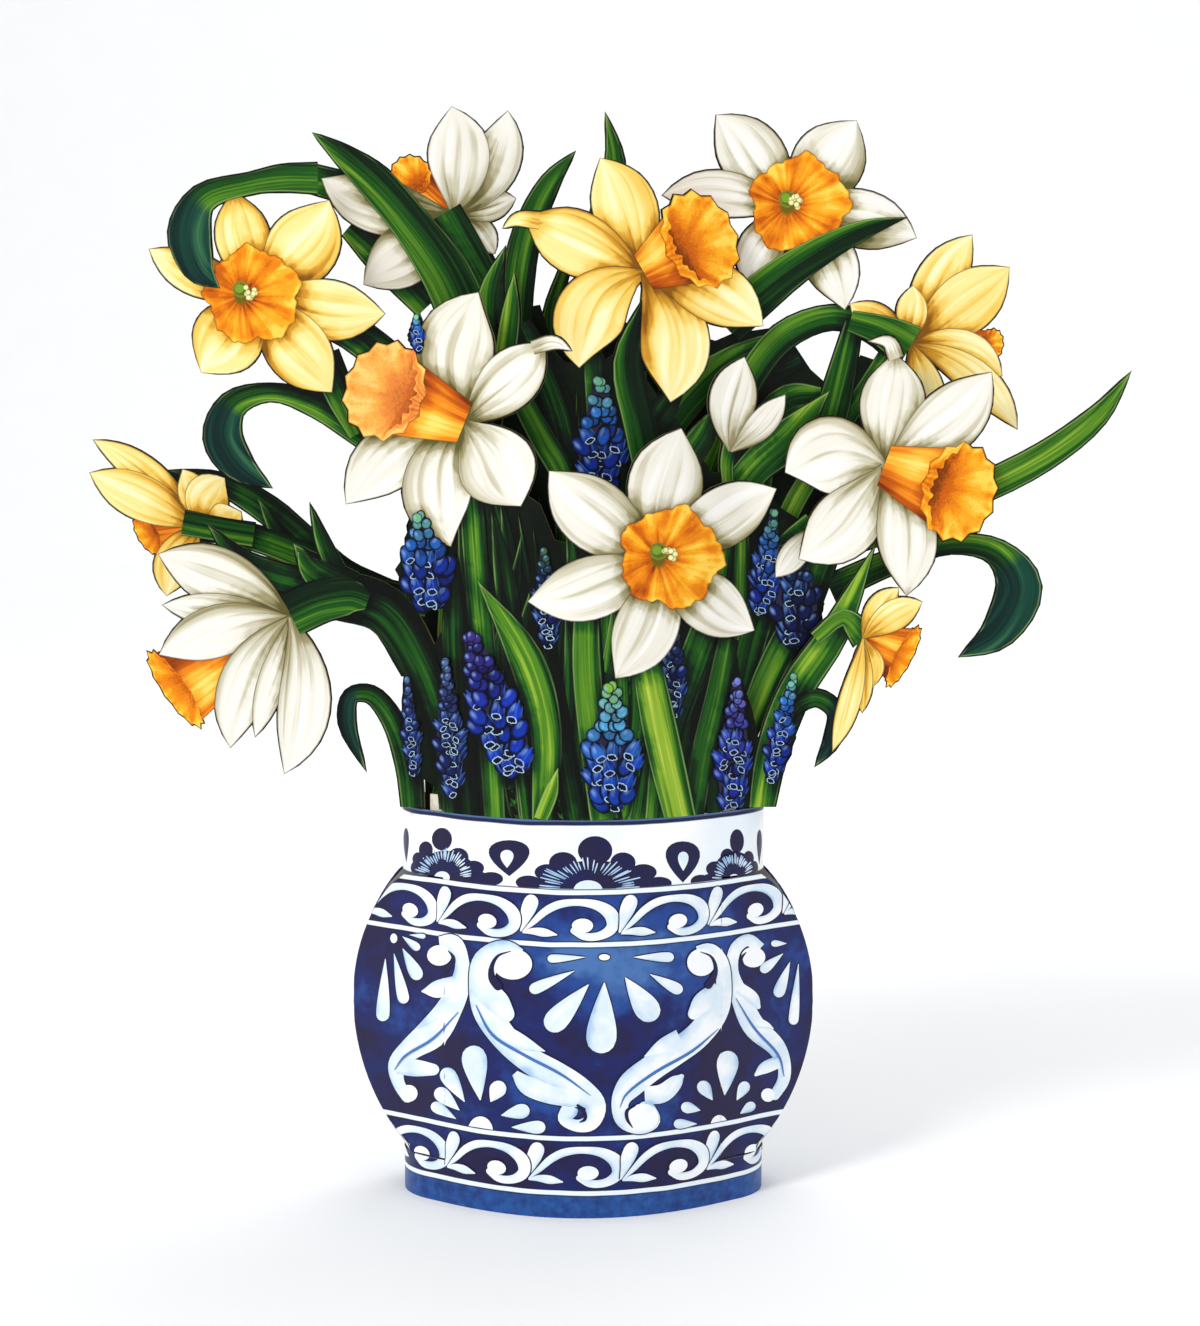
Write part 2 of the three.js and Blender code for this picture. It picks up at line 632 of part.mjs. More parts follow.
// Folds a flat sheet. sectionOf picks the cross-section for a triangle beyond the shoulder.
function folded(solid, sections, sectionOf, side) {
  const creases = new Set();
  sections.forEach((section) => runs(section).slice(1, -1).forEach((run) => creases.add(run.toFixed(5))));
  const lines = [...creases].map(Number).flatMap((run) => [-run, run]).concat(0).sort((a, b) => a - b);
  const far = WING_REACH * 2;
  const bounds = [-far, ...lines, far];
  const triangles = [];
  for (let i = 1; i < bounds.length; i += 1) {
    const strip = solid.intersect(slab(bounds[i - 1], bounds[i], -far, far * 2));
    if (!strip.isEmpty()) triangles.push(...capTriangles(strip));
  }
  matchCreases(triangles, lines);

  const positions = [];
  const indices = [];
  const welded = [];
  const vertex = ([s, z], section, face) => {
    const [x, y] = foldedPoint(section, s, (face * CARD) / 2);
    const near = ([px, py, pz]) => Math.abs(px - x) + Math.abs(py - y) + Math.abs(pz - z) < WELD;
    let at = welded.findIndex(near);
    if (at < 0) {
      at = welded.push([x, y, z]) - 1;
      positions.push(x, side * y, z);
    }
    return at;
  };
  const edges = new Map();
  const addTriangle = (a, b, c) => indices.push(...(side > 0 ? [a, b, c] : [a, c, b]));
  triangles.forEach((triangle) => {
    const s = (triangle[0][0] + triangle[1][0] + triangle[2][0]) / 3;
    const z = (triangle[0][1] + triangle[1][1] + triangle[2][1]) / 3;
    const section = sectionOf(Math.abs(s), z);
    const front = triangle.map((corner) => vertex(corner, section, -1));
    const back = triangle.map((corner) => vertex(corner, section, 1));
    addTriangle(...front);
    addTriangle(back[0], back[2], back[1]);
    front.forEach((from, k) => {
      const to = front[(k + 1) % 3];
      edges.set(`${from}>${to}`, [from, to, back[k], back[(k + 1) % 3]]);
    });
  });
  edges.forEach(([from, to, backFrom, backTo]) => {
    if (edges.has(`${to}>${from}`)) return;
    addTriangle(to, from, backFrom);
    addTriangle(to, backFrom, backTo);
  });
  const geometry = new THREE.BufferGeometry();
  geometry.setAttribute('position', new THREE.Float32BufferAttribute(positions, 3));
  geometry.setIndex(indices);
  geometry.computeVertexNormals();
  return geometry;
}

// The place of a sheet's point on its section, moved off the middle of the card.
// On a fold line it moves along the mitre of the two neighbouring stretches.
function foldedPoint(section, s, offset) {
  const lengths = runs(section);
  const run = Math.abs(s);
  const hand = s < 0 ? -1 : 1;
  let i = lengths.findIndex((length) => length >= run - 1e-4);
  if (i < 0) i = lengths.length - 1;
  const normalOf = (k) => {
    const j = Math.min(Math.max(k, 1), section.length - 1);
    const dx = section[j][0] - section[j - 1][0];
    const dy = section[j][1] - section[j - 1][1];
    const length = Math.hypot(dx, dy);
    return [-dy / length, dx / length];
  };
  if (Math.abs(lengths[i] - run) < 2e-4) {
    const [px, py] = i === 0 ? [0, 1] : normalOf(i);
    const [qx, qy] = i === 0 ? [0, 1] : normalOf(i + 1);
    const mitre = offset / (1 + px * qx + py * qy);
    const x = section[i][0] + (px + qx) * mitre;
    return [i === 0 ? 0 : hand * x, section[i][1] + (py + qy) * mitre];
  }
  const part = (run - lengths[i - 1]) / (lengths[i] - lengths[i - 1]);
  const [nx, ny] = normalOf(i);
  const x = section[i - 1][0] + part * (section[i][0] - section[i - 1][0]) + nx * offset;
  const y = section[i - 1][1] + part * (section[i][1] - section[i - 1][1]) + ny * offset;
  return [hand * x, y];
}

// Cards

function sprayPrisms(section, side, motifs) {
  return motifOutlines(motifs).map((outline) => {
    const flat = outline.map((point) => toSheet(section, side, point));
    return prism(area(flat) < 0 ? flat.reverse() : flat);
  });
}

// The vase card's own outline beyond the shoulder on one side: neck, belly wing and foot.
function vaseSide(hand, withTabs) {
  const strip = (from, to, bottom, top) => (
    hand > 0 ? slab(from, to, bottom, top) : slab(-to, -from, bottom, top)
  );
  const inner = SLIT_RUN - 1;
  const wallEnd = runAtY(WALL, SEAM_END[0][1]);
  const pieces = [strip(inner, wallEnd, 0, FOOT_TOP), strip(inner, wallEnd, NECK_FOOT, RIM)];
  const wing = [[hand * inner, FOOT_TOP + SLIT]];
  for (let i = 0; i <= BELLY_STEPS; i += 1) {
    const z = FOOT_TOP + SLIT + ((NECK_FOOT - FOOT_TOP - 2 * SLIT) * i) / BELLY_STEPS;
    const round = Math.max(0, 1 - ((z - BELLY_MID) / BELLY_HALF) ** 2) ** BELLY_ROUND;
    const x = BELLY_END_X + (BELLY_X - BELLY_END_X) * round;
    wing.push([hand * runAtX(BELLY, x), z]);
  }
  wing.push([hand * inner, NECK_FOOT - SLIT]);
  pieces.push(prism(hand < 0 ? wing.reverse() : wing));
  let whole = joined(pieces);
  if (!withTabs) return whole;
  const tabs = [
    [NECK_TAB, WALL_TAB, SEAM_TAB.length], [FOOT_TAB, WALL_TAB, SEAM_TAB.length],
    [BELLY_TAB, BELLY_WITH_TAB, BELLY_TAB_END.length],
  ];
  tabs.forEach(([[bottom, top], section, count]) => {
    const lengths = runs(section);
    const start = lengths[section.length - count];
    const end = lengths[section.length - 1];
    whole = whole.subtract(strip(start - NOTCH, end + 1, bottom - SLIT, top + SLIT));
    whole = whole.add(strip(start - 1, end, bottom, top));
  });
  return whole;
}

function runAtY(section, y) {
  const lengths = runs(section);
  const last = section.length - 1;
  return lengths[last] - Math.abs(section[last][1] - y);
}

function vaseCard(side, motifs, withTabs) {
  const spray = spraySection(FRONT);
  const far = WING_REACH * 2;
  let sheet = joined(sprayPrisms(spray, side, motifs));
  const shoulders = slab(-SLIT_RUN, SLIT_RUN, 0, RIM + SLIT + 1);
  const above = slab(-far, far, RIM + SLIT, far);
  sheet = sheet.intersect(shoulders.add(above));
  sheet = joined([sheet, slab(-SLIT_RUN, SLIT_RUN, 0, RIM), vaseSide(-1, withTabs), vaseSide(1, withTabs)]);
  const inTab = (z, [bottom, top]) => withTabs && z > bottom - SLIT / 2 && z < top + SLIT / 2;
  const sectionOf = (run, z) => {
    if (run < SLIT_RUN || z > RIM + SLIT / 2) return spray;
    if (inTab(z, NECK_TAB) || inTab(z, FOOT_TAB)) return WALL_TAB;
    if (z > NECK_FOOT - SLIT / 2 || z < FOOT_TOP + SLIT / 2) return WALL;
    return inTab(z, BELLY_TAB) ? BELLY_WITH_TAB : BELLY;
  };
  const sections = withTabs ? [spray, WALL, WALL_TAB, BELLY_WITH_TAB] : [spray, WALL];
  return folded(cleaned(sheet), sections, sectionOf, side);
}

function innerCard(layer, side, motifs) {
  const section = spraySection(layer);
  const far = WING_REACH * 2;
  const rootRun = runAtX(section, ROOT_HALF);
  let sheet = joined(sprayPrisms(section, side, motifs));
  const root = slab(-rootRun, rootRun, ROOT_FOOT, ROOT_TOP + ROOT_LAP);
  sheet = cleaned(sheet.intersect(slab(-far, far, ROOT_TOP, far)).add(root));
  const windowHalf = CARD / 2 + GAP;
  [-1, 1].forEach((hand) => [UPPER_STRIP, LOWER_STRIP].forEach(([bottom, top]) => {
    const run = hand * runAtX(section, WINDOW_X);
    sheet = sheet.subtract(slab(run - windowHalf, run + windowHalf, bottom - GAP, top + GAP));
  }));
  return folded(sheet, [section], () => section, side);
}

// Spacer strip: a plate from front to back with an end flange against each vase card
function spacer(hand, [bottom, top]) {
  const away = CARD + GAP;
  const within = (x) => x > STRIP_X + CREASE_CLEAR && x < FLANGE_X - CREASE_CLEAR;
  const bends = WALL.map(([x]) => x).filter(within);
  const flange = [STRIP_X, ...bends, FLANGE_X].map((x) => foldedPoint(WALL, runAtX(WALL, x), away));
  flange[0][0] = WINDOW_X;
  const half = flange.reverse();
  const line = [...half, ...half.map(([x, y]) => [x, -y]).reverse()];
  const outer = [];
  const inner = [];
  line.forEach((point, i) => {
    const before = line[Math.max(i - 1, 0)];
    const after = line[Math.min(i + 1, line.length - 1)];
    const a = i === 0 ? unit(point, after) : unit(before, point);
    const b = i === line.length - 1 ? unit(before, point) : unit(point, after);
    const mitre = CARD / 2 / (1 + a[0] * b[0] + a[1] * b[1]);
    const nx = -(a[1] + b[1]) * mitre;
    const ny = (a[0] + b[0]) * mitre;
    outer.push([hand * (point[0] + nx), point[1] + ny]);
    inner.push([hand * (point[0] - nx), point[1] - ny]);
  });
  const outline = [...outer, ...inner.reverse()];
  const shape = new THREE.Shape(outline.map(([x, y]) => new THREE.Vector2(x, y)));
  const geometry = new THREE.ExtrudeGeometry(shape, { depth: top - bottom, bevelEnabled: false });
  geometry.translate(0, 0, bottom);
  return geometry;
}

function unit([ax, ay], [bx, by]) {
  const length = Math.hypot(bx - ax, by - ay);
  return [(bx - ax) / length, (by - ay) / length];
}

const bouquet = new THREE.Group();
bouquet.position.x = AXIS_X;

function place(name, geometry, color) {
  const material = new THREE.MeshStandardMaterial({ color, roughness: 0.55, metalness: 0 });
  const mesh = new THREE.Mesh(geometry, material);
  mesh.name = name;
  bouquet.add(mesh);
}

place('front_card', vaseCard(1, FRONT_MOTIFS, true), BLUE);
place('second_card', innerCard(SECOND, 1, SECOND_MOTIFS), CREAM);
place('third_card', innerCard(THIRD, 1, THIRD_MOTIFS), CREAM);
place('middle_card', innerCard(MIDDLE, 1, MIDDLE_MOTIFS), CREAM);
place('rear_third_card', innerCard(THIRD, -1, THIRD_MOTIFS), CREAM);
place('rear_second_card', innerCard(SECOND, -1, SECOND_MOTIFS), CREAM);
place('rear_card', vaseCard(-1, FRONT_MOTIFS, false), BLUE);
place('upper_left_spacer', spacer(-1, UPPER_STRIP), CREAM);
place('upper_right_spacer', spacer(1, UPPER_STRIP), CREAM);
place('lower_left_spacer', spacer(-1, LOWER_STRIP), CREAM);
place('lower_right_spacer', spacer(1, LOWER_STRIP), CREAM);

export default bouquet;
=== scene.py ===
"""Dresses the pop-up paper daffodil bouquet with its printed faces.

The CAD gives the cut and bowed cards. This script lays thin printed patches on them: petals,
trumpets, leaves and grape hyacinths on the spray, and a painted scroll pattern on the vase.
Lengths are millimetres from the vase's axis until a mesh is made. The front faces -Y.
"""

import math

import bpy
import numpy as np
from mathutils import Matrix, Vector


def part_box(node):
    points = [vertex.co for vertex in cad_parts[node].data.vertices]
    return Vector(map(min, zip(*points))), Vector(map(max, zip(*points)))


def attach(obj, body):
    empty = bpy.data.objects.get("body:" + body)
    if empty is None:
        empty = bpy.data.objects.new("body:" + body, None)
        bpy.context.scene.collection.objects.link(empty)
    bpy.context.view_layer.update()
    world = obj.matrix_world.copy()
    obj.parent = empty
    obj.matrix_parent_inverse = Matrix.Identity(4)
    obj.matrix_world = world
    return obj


MM = 0.001

# Card, as the CAD cuts it
CARD = 0.6
SHOULDER_X = 38
SLIT_X = 38.6
RELAX_X = 39.2
RELAX = 12.4
CORNER_X = 44
SEAM_X = 51
BELLY_X = 66
BELLY_SEAM_X = 66.4
WING_REACH = 175
RIM = 111.5
NECK_FOOT = 93.1
BELLY_TOP = 92.5
BELLY_FOOT = 12.8
FOOT_TOP = 12.2
SPRAY_FOOT = 112.1
BELLY_MID = 54
BELLY_HALF = 39
BELLY_END_X = 49
BELLY_ROUND = 0.75

# Depth of the middle of each card, and how strongly it bows
FRONT = (36, 0.01)
SECOND = (22, 0.0055)
THIRD = (11, 0.0028)
MIDDLE = (0, 0)

# Patches lie this far off the card, and one step further for each level. A patch is a level
# above what it covers, and a small or hardly seen one only a part of a level.
LIFT = 0.12
LIFT_STEP = 0.03
FLORET_RISE = 0.3
UNDERGROWTH_RISE = 0.12

# Longest sides of the cells of patches, of the ground's rows, and of a card's cross-section
PATCH_STEP = 1.5
STEM_STEP = 4
GROUND_STEP = 2.5
PROFILE_STEP = 0.25

# The motifs are drawn on the plane of the middle card as seen from this point
SIGHT = Vector((4.8, -800, 236))

# Outlines of petals, leaves and trumpets, as the CAD cuts them
PETAL_STEPS = 12
PETAL_FOOT = 0.12
POINT_FROM = 0.8
POINT_PINCH = 1.5
LEAF_STEPS = 4
LEAF_THINNEST = 0.8
FRILL_LOBES = 13
FRILL_DIP = 0.9
TUBE_SPREAD = 0.44

# Undergrowth rises from inside the vase behind the drawn motifs
UNDERGROWTH_FOOT = 104
UNDERGROWTH_FEET = (-41, 47)
UNDERGROWTH_TIP = 150
BLADE_TRIES = 40
BLADE_WIDTHS = (5, 9.5)
BLADE_SWAY = 5
STEM_WIDTH = 6
STEM_LEAN = 0.35

# Grape hyacinths: where florets start and end along a spike, and how far their inked core reaches:
# a dark navy painted shade that shows in the gaps between the bells
FIRST_ROW = 0.03
LAST_ROW = 0.96
SPIKE_SHADE_CORE = 0.74
BELL_FLARE = 0.22
BELL_LONGER = 1.3
FLORET_LEAN = 38

# Trumpets seen aside: how far the near lip's light is shifted, and the least depth that has one
LIP_LIGHT = 0.6
LIP_FROM = 9

# Rings of a trumpet's mouth from its middle to its rim, and anthers in one that faces us
CORONA_RINGS = 12
ANTHERS = 11

rng = np.random.default_rng(7)

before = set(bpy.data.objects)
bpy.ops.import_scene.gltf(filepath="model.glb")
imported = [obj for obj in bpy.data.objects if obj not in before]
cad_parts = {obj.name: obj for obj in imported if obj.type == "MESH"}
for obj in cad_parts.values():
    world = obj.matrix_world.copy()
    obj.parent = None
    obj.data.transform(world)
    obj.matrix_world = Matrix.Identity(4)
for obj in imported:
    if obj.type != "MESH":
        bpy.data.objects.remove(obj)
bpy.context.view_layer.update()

# The vase's axis stands midway between the two lower spacers
left_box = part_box("lower_left_spacer")
right_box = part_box("lower_right_spacer")
AXIS = (left_box[0].x + right_box[1].x) / 2

# Colours


def linear(colour):
    """A display colour as the linear light that Blender works in."""
    return [c / 12.92 if c < 0.04045 else ((c + 0.055) / 1.055) ** 2.4 for c in colour] + [1]


def hue(colour):
    return np.array(linear(colour)[:3])


# A grape hyacinth's look: the colours of its tip, middle and foot, and its share of open bells
BLUE_SPIKE = (hue((0.45, 0.72, 0.55)), hue((0.14, 0.40, 0.72)), hue((0.06, 0.17, 0.56)), 0.62)
BRIGHT_SPIKE = (hue((0.50, 0.72, 0.25)), hue((0.35, 0.70, 0.88)), hue((0.07, 0.24, 0.66)), 0.55)
VIOLET_SPIKE = (hue((0.42, 0.44, 0.74)), hue((0.28, 0.28, 0.68)), hue((0.10, 0.16, 0.60)), 0.6)
DEEP_SPIKE = (hue((0.24, 0.18, 0.50)), hue((0.14, 0.13, 0.50)), hue((0.06, 0.20, 0.66)), 0.6)
DUSK_SPIKE = (hue((0.30, 0.40, 0.56)), hue((0.14, 0.20, 0.42)), hue((0.08, 0.12, 0.38)), 0.6)
SHADE_SPIKE = (hue((0.24, 0.38, 0.22)), hue((0.08, 0.18, 0.34)), hue((0.05, 0.09, 0.32)), 0.6)

# Motifs, as seen. Core, leaves, spikes and flowers are cut out in the CAD; shaded leaves and
# spikes are only printed inside them, and what is over is printed last. A leaf is a line of
# (x, z, width), with a tone from dark to light, and a turn where a hooked leaf shows its back
# from that far along. A petal is (tip x, tip z, width, sway) from the flower's heart. A spike is
# (tip x, tip z, foot x, foot z, width). A trumpet's turn is in degrees; glare is the shine on it.

FRONT_MOTIFS = {
    "core": [
        [-41, 104], [-41, 114.5], [-46, 118], [-50.5, 132], [-47, 148], [-40, 160], [-37, 185],
        [-33, 203], [-22, 203], [-12, 196], [-8, 186], [20, 178], [42, 172], [43, 157], [44.5, 148],
        [48, 138], [51, 125], [51.5, 104],
    ],
    "leaves": [
        [
            [-48.5, 106, 6], [-50, 122, 7], [-54.5, 135, 6], [-60.5, 142, 5], [-66, 141.5, 4.5],
            [-67.2, 134, 5], [-61.7, 119.5, 0],
        ],
        [[-11, 106, 7], [-10.5, 132, 9], [-16, 152, 10], [-30, 175, 0]],
        [[-12, 106, 4], [-9, 114, 4], [-7, 121, 0]],
        [[6, 106, 8], [3, 128, 8], [1, 150, 8], [1, 168, 7]],
        [[27.5, 106, 9], [22, 130, 10], [17, 155, 8]],
        [[50.5, 106, 7], [53.5, 124, 9], [60.5, 143, 9.5], [71.5, 160, 8], [83, 185, 0]],
        [[55.5, 128, 4], [60, 138, 5], [66.5, 141, 5], [72, 137, 5], [71, 129, 5], [66, 121, 0]],
        [[-46, 150, 12], [-56, 166, 13], [-70, 170, 13], [-83, 165, 13]],
        [[-66, 172, 10], [-76, 178, 8], [-82, 185, 0]],
        [[-66, 170, 5], [-73, 184, 4.5], [-77.3, 196.8, 0]],
        [[-70, 172, 9], [-84, 174.5, 9], [-96, 179.5, 7], [-106.3, 190.5, 0]],
        [[66, 158, 4], [74, 164, 5], [80, 158, 8]],
        [
            [-38, 106, 5], [-38.5, 120, 7], [-41.5, 138, 9], [-48, 153.5, 11], [-57, 165.5, 12],
            [-70, 169.5, 12.5],
        ],
    ],
    "spikes": [
        [-46, 193.5, -43, 168, 19], [-32, 160, -19, 120, 20], [8, 145, 8, 110, 20],
        [43.5, 146, 42, 110, 13.5], [60, 148, 53.5, 118, 9.5], [-50, 147.5, -48, 119, 7],
        [-38.5, 152, -37, 114, 11], [-46.5, 249, -46, 240, 6],
    ],
    "flowers": [
        {
            "heart": [-33, 219],
            "petals": [
                [-29, 255.5, 22, 5], [-10.5, 241.5, 16, -0.5], [-67, 196, 18, -4], [-37, 184, 20, -6],
                [-17.3, 195.5, 22, 0.5],
            ],
            "curls": [[[-14, 240, 4], [-8, 241.5, 4], [-2.8, 239, 0]]],
            "trumpet": {"foot": 12, "mouth": [-55.5, 228], "across": 29, "deep": 24, "turn": 20},
            "glare": 1,
        },
        {
            "heart": [-83, 164],
            "trumpet_behind": True,
            "petals": [
                [-120.3, 182, 17, -1.5], [-119.5, 167.5, 10, 0], [-115, 161, 9, 0],
                [-120.5, 153.3, 15, -2], [-100.5, 126.5, 15, -4], [-93.5, 129.5, 8, 0],
                [-85.3, 119, 15, 5],
            ],
            "trumpet": {"foot": 8, "mouth": [-116, 143.5], "across": 27, "deep": 7, "turn": -34},
        },
        {
            "heart": [22, 181],
            "faces_us": 1,
            "petals": [
                [27.5, 217.5, 21, 2], [-9.5, 205.5, 20, 2], [-15.5, 168.5, 18, 2], [9, 146.5, 18, 3],
                [48.5, 160.3, 17, -2], [54.7, 200.5, 17, 1],
            ],
            "trumpet": {"foot": 8, "mouth": [24.5, 181], "across": 29, "deep": 28, "turn": 0},
        },
        {
            "heart": [85, 207],
            "petals": [
                [87.5, 238.5, 18.5, -0.8], [115, 233.3, 18, -2.5], [57, 205, 22, -4], [61, 180.5, 19, 3],
                [91.7, 170, 17, 3],
            ],
            "curls": [[[88, 237, 4.5], [86, 241.5, 4], [80, 241.8, 0]]],
            "trumpet": {"foot": 12, "mouth": [106, 199.5], "across": 29, "deep": 22, "turn": 12},
        },
        {
            "heart": [79.5, 158],
            "trumpet_behind": True,
            "yellow": 1,
            "petals": [
                [89.5, 172.5, 8, 1], [96.3, 168.5, 9, 1], [82.5, 144, 9, 0], [79.5, 136.5, 6, 0],
                [71, 125.5, 6.5, 1],
            ],
            "trumpet": {"foot": 7, "mouth": [91, 152.8], "across": 20, "deep": 5, "turn": 27},
        },
    ],
    "leaves_turns": {0: 42, 6: 23},
    "leaves_tones": [0.25, 0.5, 0.7, 0.6, 0.7, 0.7, 0.25, 0.2, 0.45, 0.35, 0.25, 0.6, 0.18],
    "spike_looks": [
        BLUE_SPIKE, DEEP_SPIKE, BRIGHT_SPIKE, VIOLET_SPIKE, BLUE_SPIKE, DUSK_SPIKE, DUSK_SPIKE,
        BLUE_SPIKE,
    ],
    "spikes_on_top": True,
    "shaded_leaves": [
        [[-25, 106, 6], [-27.5, 150, 7], [-29.5, 172, 7], [-31.5, 202, 7]],
        [[-33, 106, 7], [-35, 140, 8], [-36, 165, 7], [-35, 182, 0]],
        [[-14, 106, 7], [-19, 150, 7], [-22, 175, 6], [-26, 198, 0]],
        [[-2, 106, 7], [-8, 140, 7], [-12, 165, 6], [-14, 190, 0]],
        [[21, 106, 7], [24, 130, 8.5], [28.5, 144, 9], [34, 160, 8]],
        [[31, 106, 6], [34, 125, 7], [38, 142, 7], [41, 158, 6]],
    ],
    "shaded_leaves_tones": [0.5, 0.1, 0.2, 0.15, 0.5, 0.35],
    "shaded_spikes": [[-11, 184, -9.5, 157, 10], [25, 165, 25.5, 137, 10]],
    "over": [
        [[-66, 172, 9], [-76, 177, 8], [-81, 183, 0]],
        [[-61, 168.5, 5], [-66, 170, 10.5], [-75, 168.5, 12.5], [-83, 165, 13]],
    ],
    "over_tones": [0.35, 0.32],
}

HOOKED_LEAF = [
    [-74, 287, 8.5], [-84, 287, 7.5], [-93, 285.5, 6], [-106, 281.5, 8], [-110, 272, 12],
    [-107.5, 262, 9], [-101.5, 256.5, 0],
]

SECOND_MOTIFS = {
    "core": [
        [-43, 108], [-43, 150], [-38, 165], [-31, 205], [-29, 238], [-20, 246], [-12, 243], [-5, 236],
        [5, 236], [12, 240], [20, 228], [30, 215], [36, 205], [47, 205], [56, 195], [67, 188], [70, 176],
        [66, 160], [56, 145], [46, 128], [43, 108],
    ],
    "leaves": [
        HOOKED_LEAF,
        [
            [-38, 203, 8], [-50, 208, 7], [-60, 214, 7], [-75, 224, 7], [-88, 227.5, 5], [-98.5, 224, 8],
            [-101.5, 215, 11], [-97, 207, 9], [-87.5, 200.5, 0],
        ],
        [
            [56, 180, 9], [80, 187.5, 8.5], [108, 198.5, 8.5], [130, 209.5, 8], [145, 221, 6],
            [154.3, 233.6, 0],
        ],
        [
            [70, 172, 8], [88, 180, 7], [104, 184.8, 5.5], [117, 182.5, 7.5], [123.5, 172.5, 13],
            [118, 160, 10], [106.5, 152.5, 0],
        ],
        [[-27, 222, 9], [-25, 240, 9], [-25.5, 255, 7], [-21.5, 268.5, 0]],
        [[-22, 235, 6], [-20, 250, 5], [-19, 261.5, 0]],
        [[40, 196, 9], [49, 207, 10], [57, 214, 11], [69.5, 228, 0]],
        [[41, 200, 3], [40.5, 208, 4], [43, 216, 6]],
        [[-63, 216, 6], [-68, 226, 8], [-73, 238, 9]],
        [[-50, 236, 5], [-57, 241, 6], [-66, 247, 7]],
        [[-33, 200, 6], [-48, 222, 6], [-62, 240, 6], [-80, 250, 6]],
        [[42, 118, 6], [52, 146, 8], [62, 166, 9], [68, 182, 9]],
    ],
    "spikes": [
        [5, 231, 5, 200, 18], [-10, 187, -7, 157, 9], [54, 194, 50, 165, 12], [61, 184, 60, 157, 17],
        [25, 165, 25, 137, 9],
    ],
    "flowers": [
        {
            "heart": [17, 261],
            "yellow": 1,
            "petals": [
                [4.8, 292.7, 18, -1.5], [-16, 276.5, 18, 0.5], [-1, 234.3, 20, -6],
                [24.5, 224.7, 20, 4.5], [50.7, 246, 17, 3],
            ],
            "curls": [[[-12, 275.3, 5], [-18, 275.7, 4], [-22.5, 273, 0]]],
            "trumpet": {"foot": 11, "mouth": [32.5, 270], "across": 29, "deep": 21, "turn": -25},
        },
        {
            "heart": [-91, 255],
            "yellow": 1,
            "faces_us": 1,
            "petals": [
                [-97.5, 283.5, 15.5, 0.5], [-70.8, 281, 20, -2], [-55.3, 249.5, 17, -1.5],
                [-70.5, 227.5, 18, -0.5], [-107.3, 233, 20, 0.3], [-121.5, 267.5, 12, 1.5],
            ],
            "trumpet": {"foot": 8, "mouth": [-92.5, 254.5], "across": 27, "deep": 26, "turn": 0},
        },
        {"heart": [41.5, 211], "petals": [[45.3, 237.5, 13.5, 1.5], [57, 227, 8, -1]]},
        {"heart": [66, 190], "petals": [[54.5, 175.3, 8, 0]]},
    ],
    "shaded_leaves": [
        [[0, 180, 7], [-2, 200, 8], [-6, 220, 8.5], [-12, 236, 8.5], [-17, 247, 5]],
        [[-4, 180, 7], [-5.7, 204, 7], [-11, 214, 7], [-17.5, 226.6, 6], [-21, 238, 5]],
        [[6, 190, 7], [5, 205, 6.5], [4, 222, 6], [3, 238, 6]],
        [[12, 190, 7], [15, 210, 9], [22, 222, 8], [30, 232, 0]],
        [[44, 140, 8], [50, 165, 9], [58, 182, 10], [66, 190, 9]],
        [[24, 190, 6], [28, 206, 8], [34, 216, 7], [38, 224, 0]],
    ],
    "shaded_leaves_tones": [0.08, 0.45, 0.4, 0.2, 0.3, 0.35],
    "over": [
        [[20, 200, 9], [16, 218, 9], [12.5, 236, 8], [16.5, 253.5, 0]],
        HOOKED_LEAF,
    ],
    "leaves_turns": {0: 32, 1: 62, 3: 50},
    "over_turns": {1: 32},
    "leaves_tones": [0.35, 0.4, 0.65, 0.4, 0.35, 0.6, 0.6, 0.5, 0.4, 0.4, 0.45, 0.5],
    "spike_looks": [BLUE_SPIKE, BLUE_SPIKE, BLUE_SPIKE, SHADE_SPIKE, DEEP_SPIKE],
    "over_tones": [0.25, 0.45],
}

